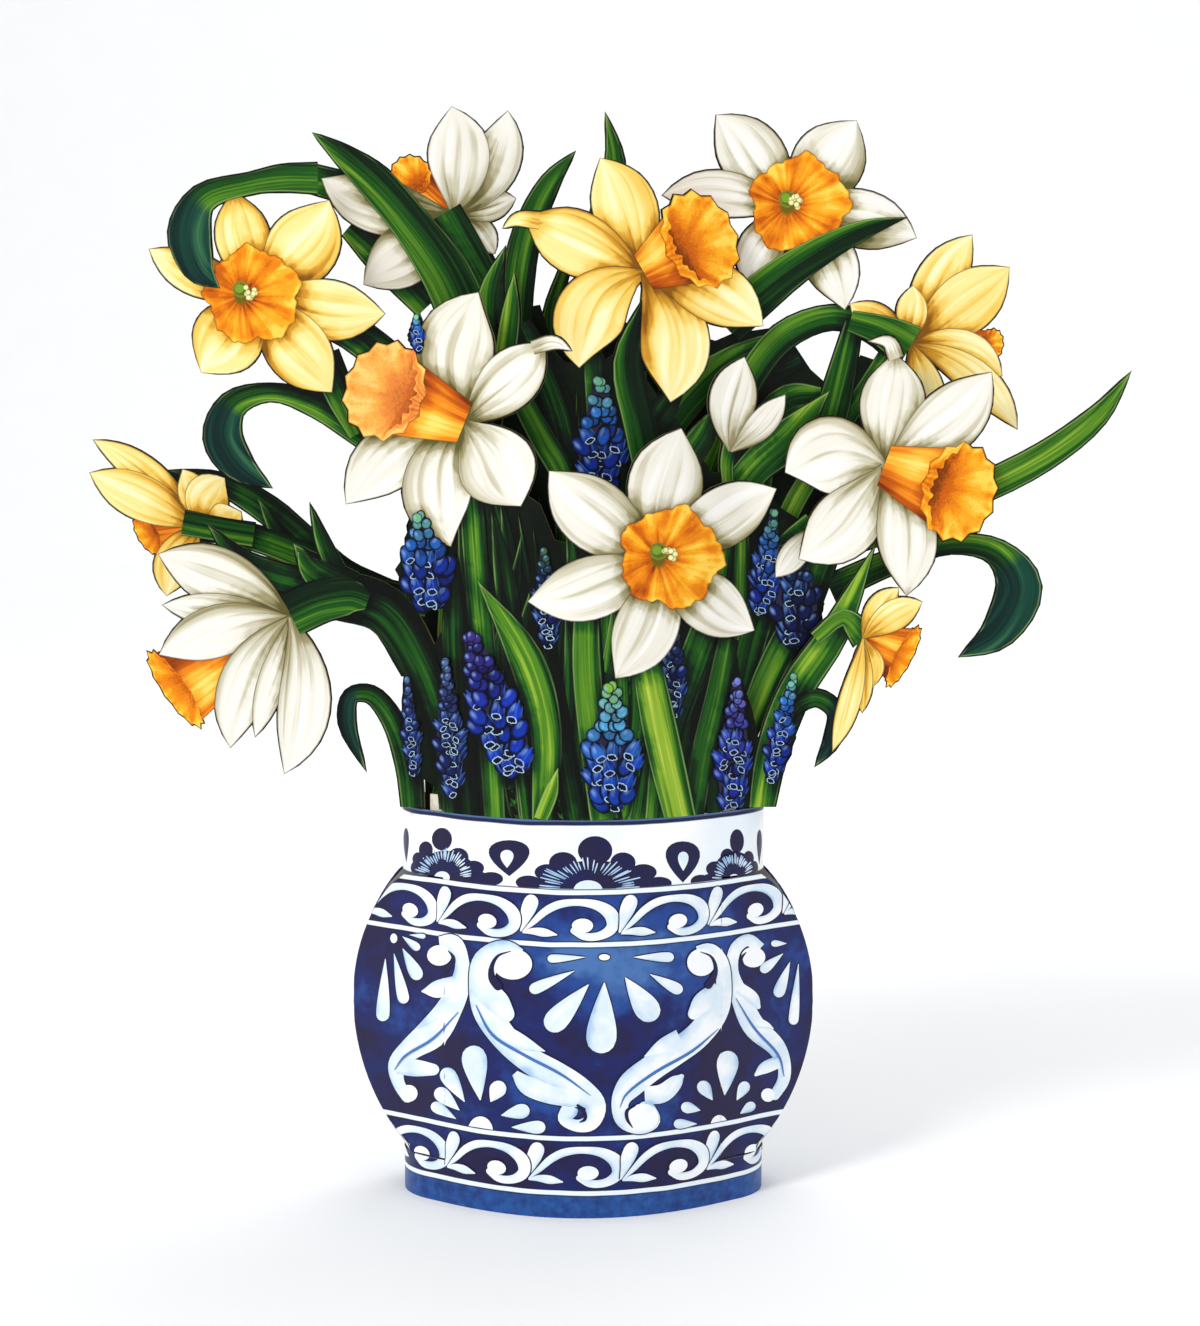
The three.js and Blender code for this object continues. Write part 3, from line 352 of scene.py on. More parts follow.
THIRD_MOTIFS = {
    "core": [
        [-43, 108], [-40, 160], [-38, 205], [-33, 240], [-24, 250], [-12, 252], [-8, 240], [10, 236],
        [28, 238], [42, 244], [56, 246], [64, 234], [73, 226], [78, 238], [84, 236], [82, 216],
        [74, 196], [62, 170], [48, 140], [43, 108],
    ],
    "leaves": [
        [[36, 205, 8], [45, 228, 8], [56, 243, 8], [70, 248.5, 7], [81, 245.5, 8], [91, 240, 12]],
        [[66, 205, 9], [71, 225, 9], [76, 247, 5]],
        [[-19, 238, 9], [-18.5, 256, 9], [-15.5, 272, 8], [-9, 286, 5.5], [-1.8, 294.7, 0]],
    ],
    "spikes": [],
    "flowers": [
        {
            "heart": [58, 278],
            "faces_us": 1,
            "petals": [
                [37, 304.5, 18, -1], [76.3, 303, 20, -0.5], [93.5, 270.5, 16, 2], [73.5, 250.5, 15, 3],
                [46, 257, 13, -2], [22, 282.3, 13, -2.5],
            ],
            "trumpet": {"foot": 8, "mouth": [60.5, 279.5], "across": 28, "deep": 27, "turn": 0},
        },
        {
            "heart": [92, 241],
            "trumpet_behind": True,
            "yellow": 1,
            "petals": [
                [109, 271.5, 14, 1.5], [119.5, 262.5, 17, -0.5], [92.5, 257.5, 9, 0],
                [74.8, 252.3, 10, 0], [118, 232, 12, 3], [122.5, 217, 10, 4], [100, 219, 10, 0],
            ],
            "trumpet": {"foot": 8, "mouth": [114.5, 240.5], "across": 10, "deep": 7, "turn": 15},
        },
    ],
    "shaded_leaves": [
        [[8, 196, 8], [12, 212, 8], [15, 224, 7], [18, 234, 0]],
        [[34, 196, 8], [46, 214, 8.5], [58, 226, 8], [67, 227, 4]],
        [[24, 196, 9], [37, 216, 10], [50, 231, 9], [61, 237, 5]],
        [[14, 196, 10], [22, 216, 10.5], [33, 230, 10], [44, 238.5, 6], [56, 243, 4]],
    ],
    "shaded_leaves_tones": [0.3, 0.4, 0.12, 0.5],
    "over": [
        [
            [40, 246, 11], [48.5, 254, 11.5], [58, 261.5, 10], [70, 268.8, 7.5], [80, 273.3, 5],
            [91, 276.3, 0],
        ],
        [[75, 247.5, 6], [82, 245.5, 8], [87.5, 243, 10.5], [92, 240.5, 12]],
    ],
    "leaves_tones": [0.45, 0.3, 0.4],
    "spike_looks": [],
    "over_tones": [0.35, 0.5],
}

MIDDLE_MOTIFS = {
    "core": [
        [-43, 108], [-46, 160], [-50, 190], [-40, 215], [-36, 240], [-26, 252], [-10, 250], [20, 246],
        [46, 240], [66, 220], [70, 190], [54, 150], [43, 108],
    ],
    "leaves": [
        [[-1, 246, 8], [3, 264, 8], [7, 281, 8], [9, 292, 5.5], [6.2, 305.5, 0]],
        [
            [-54, 170, 8], [-68, 176, 9], [-78, 185, 8], [-89, 194.5, 8], [-102, 202, 6],
            [-117.5, 205.8, 0],
        ],
        [[-78, 178, 6], [-86, 188, 5], [-92, 198, 0]],
        [[-44, 264, 8], [-58, 281, 9], [-76, 287, 8]],
        [[-20, 246, 9], [-29, 262, 10], [-37, 276, 11]],
        [[-44, 168, 8], [-60, 172, 8], [-80, 182, 8], [-98, 188, 7], [-112, 190, 8]],
        [[-43, 252, 9], [-56, 266, 11], [-65, 274, 7]],
        [[-8, 240, 7], [-8.5, 250, 5], [-5, 262, 3]],
    ],
    "spikes": [],
    "flowers": [
        {
            "heart": [-36, 277],
            "trumpet_behind": True,
            "petals": [
                [-73, 287, 16, 3], [-61.5, 257.5, 17, 0.5], [-24.5, 266, 9, 1], [-18.5, 281.5, 9, 0],
                [-20.8, 305.7, 14, -3.5], [-36.5, 306.8, 17.5, -1.8],
            ],
            "trumpet": {"foot": 7, "mouth": [-48, 287.5], "across": 12, "deep": 12, "turn": 60},
        },
        {
            "heart": [-108, 190],
            "trumpet_behind": True,
            "yellow": 1,
            "petals": [
                [-138.2, 214.3, 9, -2], [-139.3, 205, 13, 0], [-113, 206, 9, -1], [-101, 203.5, 13, 2],
                [-96.5, 194, 11, -1], [-118, 170, 12, -2],
            ],
            "trumpet": {"foot": 7, "mouth": [-123, 187.5], "across": 13, "deep": 6, "turn": -30},
        },
    ],
    "over": [
        [[-22, 248, 9], [-30, 263, 9.5], [-38.5, 277.5, 10]],
        [[-93, 187.5, 7], [-104, 189.3, 7], [-113, 191, 7.5]],
        [
            [-31, 243, 14], [-38, 260, 14], [-48.5, 275, 11], [-58, 286, 10], [-67, 293.5, 6],
            [-75.5, 299.7, 0],
        ],
    ],
    "leaves_tones": [0.45, 0.35, 0.3, 0.6, 0.35, 0.4, 0.35, 0.35],
    "spike_looks": [],
    "over_tones": [0.36, 0.4, 0.4],
}

# Outlines of the motifs


def catmull_rom(points, steps):
    """The centripetal curve through the points, with this many steps between two of them."""
    knots = np.array(points, float)
    knots = np.vstack([2 * knots[0] - knots[1], knots, 2 * knots[-1] - knots[-2]])
    line = []
    for a, b, c, d in zip(knots, knots[1:], knots[2:], knots[3:]):
        before, across, after = (
            max(np.linalg.norm(q - p) ** 0.5, 1e-4) for p, q in ((a, b), (b, c), (c, d))
        )
        leave = across * ((b - a) / before - (c - a) / (before + across) + (c - b) / across)
        arrive = across * ((c - b) / across - (d - b) / (across + after) + (d - c) / after)
        for i in range(steps):
            t = i / steps
            line.append(
                b + leave * t + (3 * (c - b) - 2 * leave - arrive) * t**2
                + (2 * (b - c) + leave + arrive) * t**3
            )
    return np.array([*line, knots[-2]])


def band(line, half):
    """The left and right edges of a band, from its middle line and half widths."""
    line = np.asarray(line, float)
    half = np.asarray(half, float)
    along = np.vstack([line[1] - line[0], line[2:] - line[:-2], line[-1] - line[-2]])
    along /= np.linalg.norm(along, axis=1)[:, None]
    normal = np.stack([-along[:, 1], along[:, 0]], 1)
    return line + normal * half[:, None], line - normal * half[:, None]


def petal_width(t):
    pinch = 1 - POINT_PINCH * max(0, t - POINT_FROM)
    return math.sin(math.pi * t**1.15) ** 0.72 * pinch if 0 < t < 1 else 0


def petal_edges(heart, shape):
    tip_x, tip_z, width, sway, *start = shape
    foot = np.array(start or heart, float)
    reach = np.array([tip_x, tip_z]) - foot
    normal = np.array([-reach[1], reach[0]]) / np.linalg.norm(reach)
    line, half = [], []
    for i in range(PETAL_STEPS + 1):
        t = i / PETAL_STEPS
        line.append(foot + reach * t + normal * 4 * t * (1 - t) * sway)
        half.append(0 if i == PETAL_STEPS else width / 2 * max(petal_width(t), PETAL_FOOT))
    return band(line, half)


def leaf_edges(points):
    curve = catmull_rom(points, LEAF_STEPS)
    half = np.maximum(curve[:, 2], LEAF_THINNEST) / 2
    if points[-1][2] == 0:
        half[-1] = 0
    return band(curve[:, :2], half)


def frill_rim(trumpet):
    """The frilled rim's corners round its middle; turn leans its top to the right."""
    a = np.arange(2 * FRILL_LOBES + 1) * math.pi / FRILL_LOBES
    swell = np.where(np.arange(len(a)) % 2, 1, FRILL_DIP) / 2
    x = trumpet["deep"] * swell * np.cos(a)
    z = trumpet["across"] * swell * np.sin(a)
    return turned_rim(x, z, -trumpet["turn"])


def spike_width(t):
    return min(math.sin(math.pi * (0.12 + 0.8 * t)) ** 0.5, 0.22 + 1.2 * t)


# Cross-sections of the cards


class Section:
    """The half profile of a card's middle surface, seen from above, from the middle outwards."""

    def __init__(self, x, y):
        self.x = np.asarray(x, float)
        self.y = np.asarray(y, float)
        steps = np.hypot(np.diff(self.x), np.diff(self.y))
        self.run = np.concatenate([[0], np.cumsum(steps)])
        tangent_x = np.gradient(self.x, self.run)
        tangent_y = np.gradient(self.y, self.run)
        length = np.hypot(tangent_x, tangent_y)
        self.normal_x = tangent_y / length
        self.normal_y = -tangent_x / length

    def sheet(self, side, seen_x, seen_z):
        """Moves points drawn on the middle plane to the card's flat sheet."""
        x = np.array(seen_x, float)
        for _ in range(8):
            scale = 1 + side * np.interp(np.abs(x), self.x, self.y) / -SIGHT.y
            x = SIGHT.x + (seen_x - SIGHT.x) * scale
        run = np.sign(x) * np.interp(np.abs(x), self.x, self.run)
        return run, SIGHT.z + (seen_z - SIGHT.z) * scale

    def place(self, side, run, z, offset):
        """Folds the sheet into shape, this far out from its middle surface."""
        away = np.abs(run)
        normal_x = np.sign(run) * np.interp(away, self.run, self.normal_x)
        normal_y = side * np.interp(away, self.run, self.normal_y)
        x = np.sign(run) * np.interp(away, self.run, self.x) + normal_x * offset
        y = side * np.interp(away, self.run, self.y) + normal_y * offset
        return np.stack([x, y, z], -1), np.stack([normal_x, normal_y, 0 * z], -1)


def spray_section(depth, bow):
    x = np.arange(0, WING_REACH, PROFILE_STEP)
    slope = 2 * bow * SHOULDER_X
    relaxed = np.clip(x - RELAX_X, 0, RELAX)
    y = bow * np.minimum(x, SHOULDER_X) ** 2 - depth
    y = y + slope * np.clip(x - SHOULDER_X, 0, RELAX_X - SHOULDER_X)
    return Section(x, y + slope * (relaxed - relaxed**2 / (2 * RELAX)))


def corner_section(depth, bow):
    """The neck and the foot turn back to the seam at the sides."""
    slope = 2 * bow * SHOULDER_X
    lean = math.atan(slope)
    radius = (SEAM_X - CORNER_X) / (1 - math.sin(lean))
    x = np.arange(0, CORNER_X, PROFILE_STEP)
    y = bow * np.minimum(x, SHOULDER_X) ** 2 - depth + slope * np.maximum(x - SHOULDER_X, 0)
    corner_y = bow * SHOULDER_X**2 - depth + slope * (CORNER_X - SHOULDER_X)
    a = np.linspace(lean, math.pi / 2, 30)
    turn_x = CORNER_X + radius * (np.sin(a) - math.sin(lean))
    turn_y = corner_y + radius * (math.cos(lean) - np.cos(a))
    return Section([*x, *turn_x, SEAM_X], [*y, *turn_y, -0.4])


def belly_section(depth, bow):
    x = np.arange(0, BELLY_X, PROFILE_STEP)
    slope = 2 * bow * SHOULDER_X
    return Section(x, np.where(x < SHOULDER_X, bow * x**2 - depth, slope * (x - BELLY_SEAM_X)))


# Patches


def resample(edge, count):
    """Points along a polyline at even steps of its own numbering."""
    at = np.linspace(0, len(edge) - 1, count)
    return np.stack([np.interp(at, np.arange(len(edge)), edge[:, k]) for k in (0, 1)], 1)


class Patch:
    """One printed shape: a grid of points as seen, with what its ink needs at each point."""

    def __init__(self, ink, points, spot, tint):
        self.ink = ink
        self.points = points
        self.spot = spot
        self.tint = tint
        self.shade = np.zeros(points.shape[:2])
        self.level = 0
        self.rise = 1
        self.zones = ()
        self.on_sheet = False
        self.lowest = 0


def band_patch(ink, edges, tint, row_step=PATCH_STEP):
    """A patch between two edges. Its spot is (way along, -1 to 1 across, half width)."""
    left, right = edges
    length = np.linalg.norm(np.diff((left + right) / 2, axis=0), axis=1).sum()
    width = np.linalg.norm(left - right, axis=1)
    rows = max(int(length / row_step), len(left)) + 1
    columns = max(int(width.max() / PATCH_STEP), 3) + 1
    left = resample(left, rows)
    right = resample(right, rows)
    v = np.linspace(-1, 1, columns)
    part = ((1 - v) / 2)[None, :, None]
    points = right[:, None] * (1 - part) + left[:, None] * part
    half = np.linalg.norm(left - right, axis=1) / 2
    u = np.linspace(0, 1, rows)
    if ink == "leaf":
        u = u * length
    spot = np.stack(np.broadcast_arrays(u[:, None], v[None], half[:, None]), -1)
    return Patch(ink, points, spot, tint)


def round_patch(ink, middle, rim, tint, rings=6):
    """A patch from its middle out to a closed rim. Its spot is (x, z, way out) in mm."""
    if len(rim) < 40:
        rim = resample(rim, 2 * len(rim) - 1)
    out = np.linspace(0, 1, rings)[:, None, None]
    around = out * rim[None]
    way = np.broadcast_to(out[..., 0], around.shape[:2])
    spot = np.stack([around[..., 0], around[..., 1], way], -1)
    return Patch(ink, np.asarray(middle, float) + around, spot, tint)


def inside(polygons, x, z):
    """Whether each point lies in any of the polygons."""
    found = np.zeros(len(x), bool)
    for polygon in polygons:
        a = np.asarray(polygon, float)
        b = np.roll(a, -1, axis=0)
        odd = np.zeros(len(x), bool)
        for (ax, az), (bx, bz) in zip(a, b):
            if az != bz:
                cross = ax + (z - az) * (bx - ax) / (bz - az)
                odd ^= ((az > z) != (bz > z)) & (x < cross)
        found |= odd
    return found


def stem_lines(flowers):
    """A stem from inside the vase to the heart of each flower."""
    lines = []
    for flower in flowers:
        x, z = flower["heart"]
        foot = x * STEM_LEAN
        middle = [(x + foot) / 2 - x * 0.1, z * 0.55 + 50, STEM_WIDTH]
        lines.append([[foot, UNDERGROWTH_FOOT, STEM_WIDTH], middle, [x * 0.95, z, STEM_WIDTH - 1]])
    return lines


def blade_lines(core, count):
    """Random leaves with their tips over the core."""
    lines = []
    for _ in range(count):
        tip_x = rng.uniform(core[:, 0].min(), core[:, 0].max())
        tip_z = rng.uniform(UNDERGROWTH_TIP, core[:, 1].max())
        foot = float(np.clip(tip_x * 0.75 + rng.normal(0, 9), *UNDERGROWTH_FEET))
        width = rng.uniform(*BLADE_WIDTHS)
        bend = (foot + tip_x) / 2 + rng.uniform(-BLADE_SWAY, BLADE_SWAY)
        middle = [bend, (UNDERGROWTH_FOOT + tip_z) / 2, width]
        lines.append([[foot, UNDERGROWTH_FOOT, width * 0.85], middle, [tip_x, tip_z, 0]])
    return lines


def undergrowth(motifs, count):
    """Stems and dark leaves behind the motifs: the first ones that lie wholly on the cut card."""
    core = np.array(motifs["core"], float)
    outlines = [leaf_edges(line) for line in motifs["leaves"]]
    for flower in motifs["flowers"]:
        outlines += [petal_edges(flower["heart"], shape) for shape in flower["petals"]]
    ground = [core] + [np.vstack([left, right[::-1]]) for left, right in outlines]
    lines = stem_lines(motifs["flowers"]) + blade_lines(core, count * BLADE_TRIES)
    edges = [leaf_edges(line) for line in lines]
    rims = np.array([np.vstack([left[1:], right[1:]]) for left, right in edges])
    fits = inside(ground, rims[..., 0].ravel(), rims[..., 1].ravel())
    fits = fits.reshape(len(edges), -1).all(1)
    patches = []
    for i in np.nonzero(fits)[0][:count]:
        tint = (rng.uniform(0.12, 0.72), rng.uniform(0, 9), 0)
        patch = band_patch("leaf", edges[i], tint, STEM_STEP)
        patch.rise = UNDERGROWTH_RISE
        patches.append(patch)
    return patches


def turned_rim(x, z, degrees):
    """A rim's points turned round its middle."""
    turn = math.radians(degrees)
    return np.stack(
        [x * math.cos(turn) - z * math.sin(turn), x * math.sin(turn) + z * math.cos(turn)], 1
    )


def floret(middle, length, width, lean, tint, bell):
    """One bell, or a bud where bell is 0; lean turns its mouth from straight down, in degrees."""
    a = np.linspace(0, 2 * math.pi, 13)
    across = np.sin(a) * width / 2 * (1 + BELL_FLARE * np.cos(a) * (bell > 0))
    rim = turned_rim(across, -np.cos(a) * length / 2, lean)
    out = np.array([0.03, 0.5, 0.8, 1])[:, None]
    points = np.asarray(middle, float) + out[..., None] * rim[None]
    kind = np.full((len(out), len(a)), bell)
    spot = np.stack([out * np.sin(a)[None], out * -np.cos(a)[None], kind], -1)
    patch = Patch("floret", points, spot, tint)
    patch.rise = FLORET_RISE
    return patch


def spike_rows(size, length):
    """Where the rows of florets hang, closer at the tip, as parts of the spike's length."""
    rows = [FIRST_ROW]
    while rows[-1] < LAST_ROW:
        t = rows[-1]
        rows.append(min(t + size * (0.44 + min(t, 0.45) * 0.75) / length, LAST_ROW))
    return rows


def spike_hue(t, hues):
    """A floret's colour at this part of the spike: the tip's, the middle's or the foot's."""
    tip_hue, middle_hue, low_hue = hues
    part = np.interp(t, [0.04, 0.28, 0.6], [0, 1, 2])
    low, high = (tip_hue, middle_hue) if part < 1 else (middle_hue, low_hue)
    return low + (high - low) * (part % 1 if part < 2 else 1)


def spike_florets(shape, look):
    """A grape hyacinth: round buds at the tip, open bells hanging below."""
    tip_x, tip_z, foot_x, foot_z, width = shape
    *hues, bell_share = look
    foot = np.array([foot_x, foot_z], float)
    tip = np.array([tip_x, tip_z], float)
    axis = foot - tip
    length = np.linalg.norm(axis)
    normal = np.array([-axis[1], axis[0]]) / length
    t = np.linspace(0.04, 0.97, 14)
    line = tip + axis * t[:, None]
    half = np.array([width / 2 * SPIKE_SHADE_CORE * spike_width(part) for part in t])
    # A dark navy core under the florets: painted shade for the gaps between the bells
    patches = [band_patch("cobalt", band(line, half), (-0.35, 0, 0))]
    size = 2.2 + 0.14 * width
    for row, t in reversed(list(enumerate(spike_rows(size, length)))):
        grown = size * (0.66 + 0.44 * min(t * 1.8, 1))
        half = width / 2 * spike_width(t) * 0.97
        count = max(int(round(2 * half / (grown * 0.7))), 1)
        bell = t > 1 - bell_share
        for k in rng.permutation(count):
            v = 0 if count == 1 else 2 * (k + 0.5 * (row % 2)) / (count - 0.5) - 1
            v = float(np.clip(v + rng.uniform(-0.3, 0.3), -1, 1))
            long = grown * rng.uniform(0.9, 1.1) * (BELL_LONGER if bell else 0.95)
            wide = grown * rng.uniform(0.9, 1.05) * 0.92
            place = tip + axis * (t + rng.uniform(-0.03, 0.03)) + normal * v * max(half - wide / 2, 0)
            tint = spike_hue(t, hues) * rng.uniform(0.7, 1.25)
            mouth = rng.choice([0, 0.8, 1]) if bell else 0
            lean = v * -FLORET_LEAN + rng.uniform(-12, 12)
            patches.append(floret(place, long, wide, lean, tint, mouth))
    return patches


# Cards

# A raster over a card as seen, in cells of this size: what covers what, and where shade falls
COVER_CELL = 1.25
COVER_SPAN = (400, 320)
COVER_ORIGIN = (-200, -10)
COVER_BLUR = 2
SHADE_FROM = (-0.8, 0.8)

# A patch's square is left out where clipping leaves it less area than this
LEAST_AREA = 1e-4


class Card:
    """A cut card with its printed patches, laid in the order they are drawn."""

    def __init__(self, name, section, side, slot, foot):
        self.name = name
        self.section = section
        self.side = side
        self.slot = slot
        self.foot = foot
        self.patches = []

    def lay(self, *patches):
        self.patches.extend(patches)

    def cells(self, points):
        """The cover cells under a patch's corners and the middles of its squares."""
        middles = (points[1:, 1:] + points[:-1, :-1]) / 2
        places = np.vstack([points.reshape(-1, 2), middles.reshape(-1, 2)])
        cells = ((places - COVER_ORIGIN) / COVER_CELL).astype(int)
        limit = (int(COVER_SPAN[0] / COVER_CELL) - 1, int(COVER_SPAN[1] / COVER_CELL) - 1)
        cells = np.clip(cells, 0, limit)
        return cells[:, 0], cells[:, 1]

    def stack(self):
        """Sets each patch's level above the card, and how much the patches over it shade it."""
        shape = (int(COVER_SPAN[0] / COVER_CELL), int(COVER_SPAN[1] / COVER_CELL))
        levels = np.zeros(shape)
        for patch in self.patches:
            cells = self.cells(patch.points)
            patch.level = levels[cells].max() + patch.rise
            levels[cells] = patch.level
        cover = np.zeros(shape)
        for patch in reversed(self.patches):
            cells = self.cells(patch.points)
            soft = cover
            for axis in (0, 1):
                reach = range(-COVER_BLUR, COVER_BLUR + 1)
                soft = sum(np.roll(soft, k, axis) for k in reach) / len(reach)
            at = ((patch.points - COVER_ORIGIN + SHADE_FROM) / COVER_CELL).astype(int)
            at = np.clip(at, 0, np.array(shape) - 1)
            patch.shade = soft[at[..., 0], at[..., 1]]
            cover[cells] = 1

    def folded(self, patch, face):
        run, z = self.section.sheet(self.side, patch.points[..., 0], patch.points[..., 1])
        if self.foot:
            z = np.maximum(z, np.where(np.abs(run) < slit_run(self.section), *self.foot))
        lift = CARD / 2 + LIFT + LIFT_STEP * patch.level
        return patch, *self.section.place(self.side, run, z, face * lift), face

    def build(self):
        self.stack()
        for ink in INKS:
            parts = [
                self.folded(patch, face)
                for patch in self.patches if patch.ink == ink for face in (1, -1)
            ]
            if parts:
                build_piece(f"{self.name}_{ink}", parts, ink, self.slot)


def grid_quads(corners, normals, rows, columns):
    """A grid's squares, each wound to face along its normal, without the ones that have no area."""
    index = np.arange(rows * columns).reshape(rows, columns)
    quads = np.stack([index[:-1, :-1], index[1:, :-1], index[1:, 1:], index[:-1, 1:]], -1)
    quads = quads.reshape(-1, 4)
    a, b, c, d = (corners[quads[:, k]] for k in range(4))
    facing = (np.cross(c - a, d - b) * normals[quads[:, 0]]).sum(1)
    quads = np.where(facing[:, None] < 0, quads[:, ::-1], quads)
    return quads[np.abs(facing) > LEAST_AREA]


def build_piece(name, parts, ink, slot):
    """Makes one piece from the folded patches of one ink, each (patch, places, normals, face)."""
    corners, normals, quads, spots, tints, shades = [], [], [], [], [], []
    start = 0
    for patch, places, outward, face in parts:
        flat = places.reshape(-1, 3)
        normal = outward.reshape(-1, 3) * face
        corners.append(flat)
        normals.append(normal)
        quads.append(grid_quads(flat, normal, *places.shape[:2]) + start)
        spots.append(patch.spot.reshape(-1, 3))
        tints.append(np.broadcast_to(patch.tint, flat.shape))
        shades.append(patch.shade.reshape(-1))
        start += len(flat)
    used, quads = np.unique(np.vstack(quads), return_inverse=True)
    corners = np.vstack(corners)[used]
    corners[:, 0] += AXIS / MM
    mesh = bpy.data.meshes.new(name)
    mesh.from_pydata((corners * MM).tolist(), [], quads.reshape(-1, 4).tolist())
    for label, values in (("spot", spots), ("tint", tints)):
        layer = mesh.attributes.new(label, "FLOAT_VECTOR", "POINT")
        layer.data.foreach_set("vector", np.vstack(values)[used].astype(np.float32).ravel())
    layer = mesh.attributes.new("shade", "FLOAT", "POINT")
    layer.data.foreach_set("value", np.concatenate(shades)[used].astype(np.float32))
    mesh.shade_smooth()
    mesh.normals_split_custom_set_from_vertices(np.vstack(normals)[used].tolist())
    mesh.materials.append(INKS[ink])
    piece = bpy.data.objects.new(name, mesh)
    bpy.context.scene.collection.objects.link(piece)
    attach(piece, "root")


# Inks

# Heights of the vase sheet's white lines and of the top of its blue foot
BAND_LINES = (7.1, 22.6, 77.0, 91.7)
FOOT_BAND = 6.6

CUT_EDGE = (0.42, 0.38, 0.27)
VASE_CUT_EDGE = (0.13, 0.19, 0.42)


class Term:
    """A number in a material. Arithmetic on it adds the Math nodes that work it out."""

    def __init__(self, tree, socket):
        self.tree = tree
        self.socket = socket

    def math(self, operation, *others):
        node = self.tree.nodes.new("ShaderNodeMath")
        node.operation = operation
        for slot, value in zip(node.inputs, (self, *others)):
            if isinstance(value, Term):
                self.tree.links.new(value.socket, slot)
            else:
                slot.default_value = value
        return Term(self.tree, node.outputs[0])

    def __add__(self, other):
        return self.math("ADD", other)

    def __sub__(self, other):
        return self.math("SUBTRACT", other)

    def __rsub__(self, other):
        return (self * -1).math("ADD", other)

    def __mul__(self, other):
        return self.math("MULTIPLY", other)

    __radd__ = __add__
    __rmul__ = __mul__

    def size(self):
        return self.math("ABSOLUTE")

    def wave(self):
        return self.math("SINE")

    def rise(self, low, high):
        """0 below low, 1 above high, smooth between."""
        node = self.tree.nodes.new("ShaderNodeMapRange")
        node.interpolation_type = "SMOOTHSTEP"
        self.tree.links.new(self.socket, node.inputs[0])
        node.inputs[1].default_value = low
        node.inputs[2].default_value = high
        return Term(self.tree, node.outputs[0])

    def dome(self, middle, reach):
        """1 at the middle, falling to 0 this far away."""
        return 1 - (self - middle).size().rise(0, reach)


class Ink:
    """A printed card finish: colours mixed by terms, under a thin satin coat."""

    def __init__(self, name, roughness=0.5, gloss=0.12):
        self.material = bpy.data.materials.new(name)
        self.material.use_nodes = True
        self.tree = self.material.node_tree
        self.surface = self.tree.nodes["Principled BSDF"]
        self.surface.inputs["Roughness"].default_value = roughness
        self.surface.inputs["Specular IOR Level"].default_value = gloss

    def spot(self, label):
        """The three numbers of a patch attribute."""
        node = self.tree.nodes.new("ShaderNodeAttribute")
        node.attribute_name = label
        split = self.tree.nodes.new("ShaderNodeSeparateXYZ")
        self.tree.links.new(node.outputs["Vector"], split.inputs[0])
        return [Term(self.tree, split.outputs[k]) for k in range(3)]

    def number(self, label):
        node = self.tree.nodes.new("ShaderNodeAttribute")
        node.attribute_name = label
        return Term(self.tree, node.outputs["Fac"])

    def place(self):
        """The place on the object, in millimetres."""
        node = self.tree.nodes.new("ShaderNodeTexCoord")
        split = self.tree.nodes.new("ShaderNodeSeparateXYZ")
        self.tree.links.new(node.outputs["Object"], split.inputs[0])
        return [Term(self.tree, split.outputs[k]) * (1 / MM) for k in range(3)]

    def noise(self, x, y, z=0.0, detail=2.0):
        """Smooth noise from about 0.2 to 0.8 at these coordinates."""
        join = self.tree.nodes.new("ShaderNodeCombineXYZ")
        for slot, value in zip(join.inputs, (x, y, z)):
            if isinstance(value, Term):
                self.tree.links.new(value.socket, slot)
            else:
                slot.default_value = value
        node = self.tree.nodes.new("ShaderNodeTexNoise")
        node.inputs["Scale"].default_value = 1
        node.inputs["Detail"].default_value = detail
        self.tree.links.new(join.outputs[0], node.inputs["Vector"])
        return Term(self.tree, node.outputs["Fac"])

    def mix(self, low, high, part):
        """A colour between two, each a display colour or a mixed one."""
        node = self.tree.nodes.new("ShaderNodeMix")
        node.data_type = "RGBA"
        self.tree.links.new(part.socket, node.inputs["Factor"])
        for slot, colour in ((node.inputs[6], low), (node.inputs[7], high)):
            if isinstance(colour, bpy.types.NodeSocket):
                self.tree.links.new(colour, slot)
            else:
                slot.default_value = linear(colour)
        return node.outputs[2]

    def ramp(self, part, *stops):
        """Blends through (position, display colour) stops."""
        colour = stops[0][1]
        for (low, _), (high, nxt) in zip(stops, stops[1:]):
            colour = self.mix(colour, nxt, part.rise(low, high))
        return colour

    def attribute_colour(self, label):
        node = self.tree.nodes.new("ShaderNodeAttribute")
        node.attribute_name = label
        return node.outputs["Color"]

    def finish(self, colour):
        """Sets the colour and a faint paper grain."""
        self.tree.links.new(colour, self.surface.inputs["Base Color"])
        x, y, z = self.place()
        grain = self.noise(x * 1.7, y * 1.7, z * 1.7, 4.0)
        bump = self.tree.nodes.new("ShaderNodeBump")
        bump.inputs["Strength"].default_value = 0.12
        bump.inputs["Distance"].default_value = 0.0002
        self.tree.links.new(grain.socket, bump.inputs["Height"])
        self.tree.links.new(bump.outputs[0], self.surface.inputs["Normal"])
        return self.material


